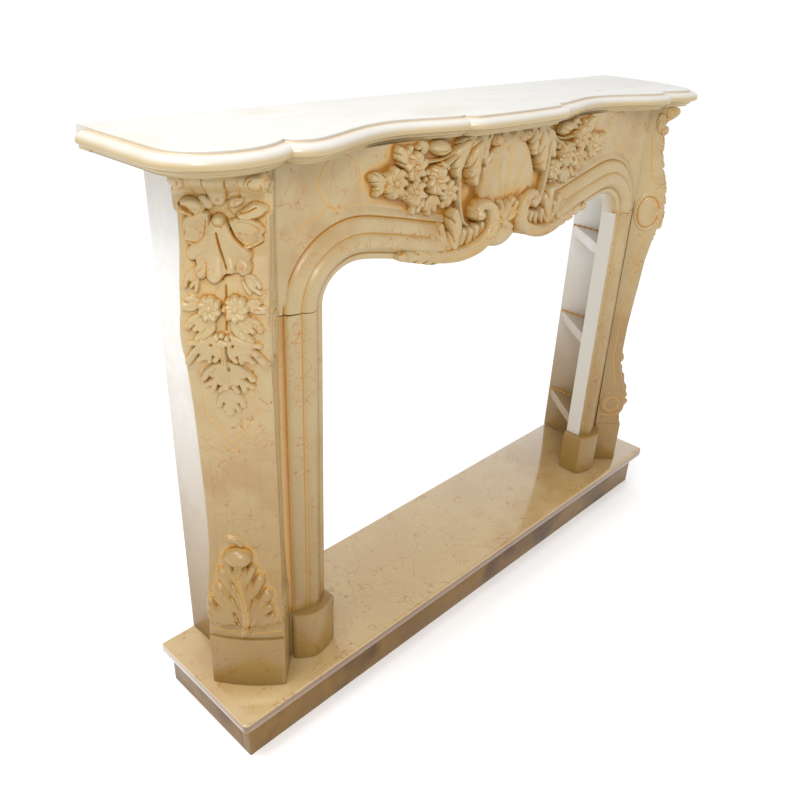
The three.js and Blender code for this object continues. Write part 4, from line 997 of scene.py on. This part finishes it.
def build_slabs(materials):
    pale, honey, brown = (materials[k] for k in ("pale", "honey", "brown"))
    half, depth, rounding = SLAB_HIGH[0], WALL - SLAB_LOW[1], 10
    corner = ellipse((half - rounding, depth - rounding), rounding, rounding, math.pi / 2, 0, 8)
    plan = corner + [(half, 0), (-half, 0)] + [(-x, d) for x, d in corner[::-1]]
    slab_piece("hearth_top", "hearth_slab", honey, plan, SLAB_LOW[2], HEARTH_TOP, bevel=2.2)
    for node in ("hearth_riser_front", "hearth_riser_left", "hearth_riser_right"):
        low, high = mm(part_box(node))
        plan = [(x, WALL - y) for x, y in ((low[0], high[1]), high[:2], (high[0], low[1]), low[:2])]
        slab_piece(node + "_stone", node, brown, plan, low[2], high[2], bevel=1.2)
    for name, side in (("left", -1), ("right", 1)):
        low, high = mm(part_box(f"side_panel_{name}"))
        face = high[0] if side > 0 else -low[0]
        inside = face - PANEL_SLAB

        def front(x):
            return (CONSOLE_BACK - GAP - math.sin(CANT) * x) / math.cos(CANT)

        slab_piece(f"return_slab_{name}", f"side_panel_{name}", pale,
                   [(side * face, 0), (side * face, front(face)), (side * inside, front(inside)),
                    (side * inside, 0)], low[2], high[2], bevel=1.0)
        reach = GROUND - SLAB - GAP
        face = inside - GAP
        for i in (1, 2, 3):
            low, high = mm(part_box(f"brace_{name}_{i}"))
            plan = [(face, 5), (face, front(face) - GAP), (mitre_at(reach, 2 * GAP), reach),
                    (face - 136, reach)]
            slab_piece(f"corner_brace_{name}_{i}", f"brace_{name}_{i}", pale,
                       [(side * x, d) for x, d in plan], low[2], high[2], bevel=0.8,
                       bead=(side * (face - 1.5), 8, front(face) - 6))


def set_stage():
    bm = bmesh.new()
    bmesh.ops.create_grid(bm, x_segments=1, y_segments=1, size=14)
    mesh = bpy.data.meshes.new("studio_floor")
    bm.to_mesh(mesh)
    bm.free()
    floor = placed("studio_floor", mesh)
    paper = bpy.data.materials.new("matt_white_paper")
    paper.use_nodes = True
    shader = paper.node_tree.nodes["Principled BSDF"]
    shader.inputs["Base Color"].default_value = linear("#ffffff")
    shader.inputs["Roughness"].default_value = 0.95
    shader.inputs["Specular IOR Level"].default_value = 0.1
    mesh.materials.append(paper)

    def panel(name, place, target, size, power):
        data = bpy.data.lights.new(name, "AREA")
        data.shape = "RECTANGLE"
        data.size, data.size_y = size
        data.energy = power
        light = placed(name, data)
        aim = (Vector(target) - Vector(place)).to_track_quat("-Z", "Y")
        light.matrix_world = Matrix.Translation(place) @ aim.to_matrix().to_4x4()

    panel("window", (-2.4, -2.4, 3.4), (0, 0, 0.8), (1.2, 1.2), 66)
    panel("ceiling", (-1.5, 0.2, 3.0), (-0.4, 0, 0.9), (1.2, 1.0), 36)
    world = bpy.data.worlds.new("studio")
    bpy.context.scene.world = world
    world.use_nodes = True
    back = world.node_tree.nodes["Background"]
    back.inputs["Color"].default_value = linear("#ffffff")
    back.inputs["Strength"].default_value = 1.0
    bpy.context.scene.view_settings.view_transform = "Standard"


place_camera()
stones = {
    # Cream limestone, carved, polished and waxed: warm and softly clouded, with amber in its hollows that is
    # partly wax and partly painted shade, and painted darker towards the floor as shade
    "carved": stone("cream_limestone_waxed", "#a99369", "#ad986f", "#a58a5d", "#a06018", veins=1.4, coat=0.15,
                    tints_hollows=True, foot="#c6b078"),
    # A pale bed of it, polished: almost white on top, and yellower under its rounded edge, partly its own cream
    # and partly painted shade and warm reflected light
    "shelf": stone("pale_limestone_polished", "#bdbab4", "#c0beb8", "#bab6ab", "#a87c38", veins=0.08,
                   rough=0.26, tints_hollows=True, foot="#ead2a2", span=(1.193, 1.181), grain=0.0, mottled=0.04),
    # Ivory limestone, only honed: a matt face that looks chalky, painted browner near the floor as shade
    "pale": stone("ivory_limestone_honed", "#d8d7d4", "#dbdad8", "#d5d3cc", "#b8a57c", stain="#b07c2a",
                  veins=0.25, rough=0.42, tints_hollows=True, foot="#a07e42"),
    # Honey limestone with a high polish: the legs are mirrored in it, and its edge is deeper
    "honey": stone("honey_limestone_polished", "#ad9267", "#b2996c", "#a88959", "#8a5820", veins=2.0,
                   cloud_mm=260, foot="#a4885a", rough=0.14, coat=0.8,
                   span=(HEARTH_TOP / 1000 - 0.001, HEARTH_TOP / 1000 - 0.007)),
    # Brown limestone: dark clouds under a soft shine, with no wax
    "brown": stone("brown_limestone_polished", "#6b4c1e", "#785823", "#4f320b", "#3a2006", cloud_mm=210,
                   rough=0.3, shine=0.3),
}
build_frieze(stones["carved"])
for name, side in (("left", -1), ("right", 1)):
    build_console(name, side, stones["carved"])
    build_console_foot(name, side, stones["carved"])
    build_jamb(name, side, stones["carved"])
build_shelf(stones["shelf"])
build_slabs(stones)
set_stage()
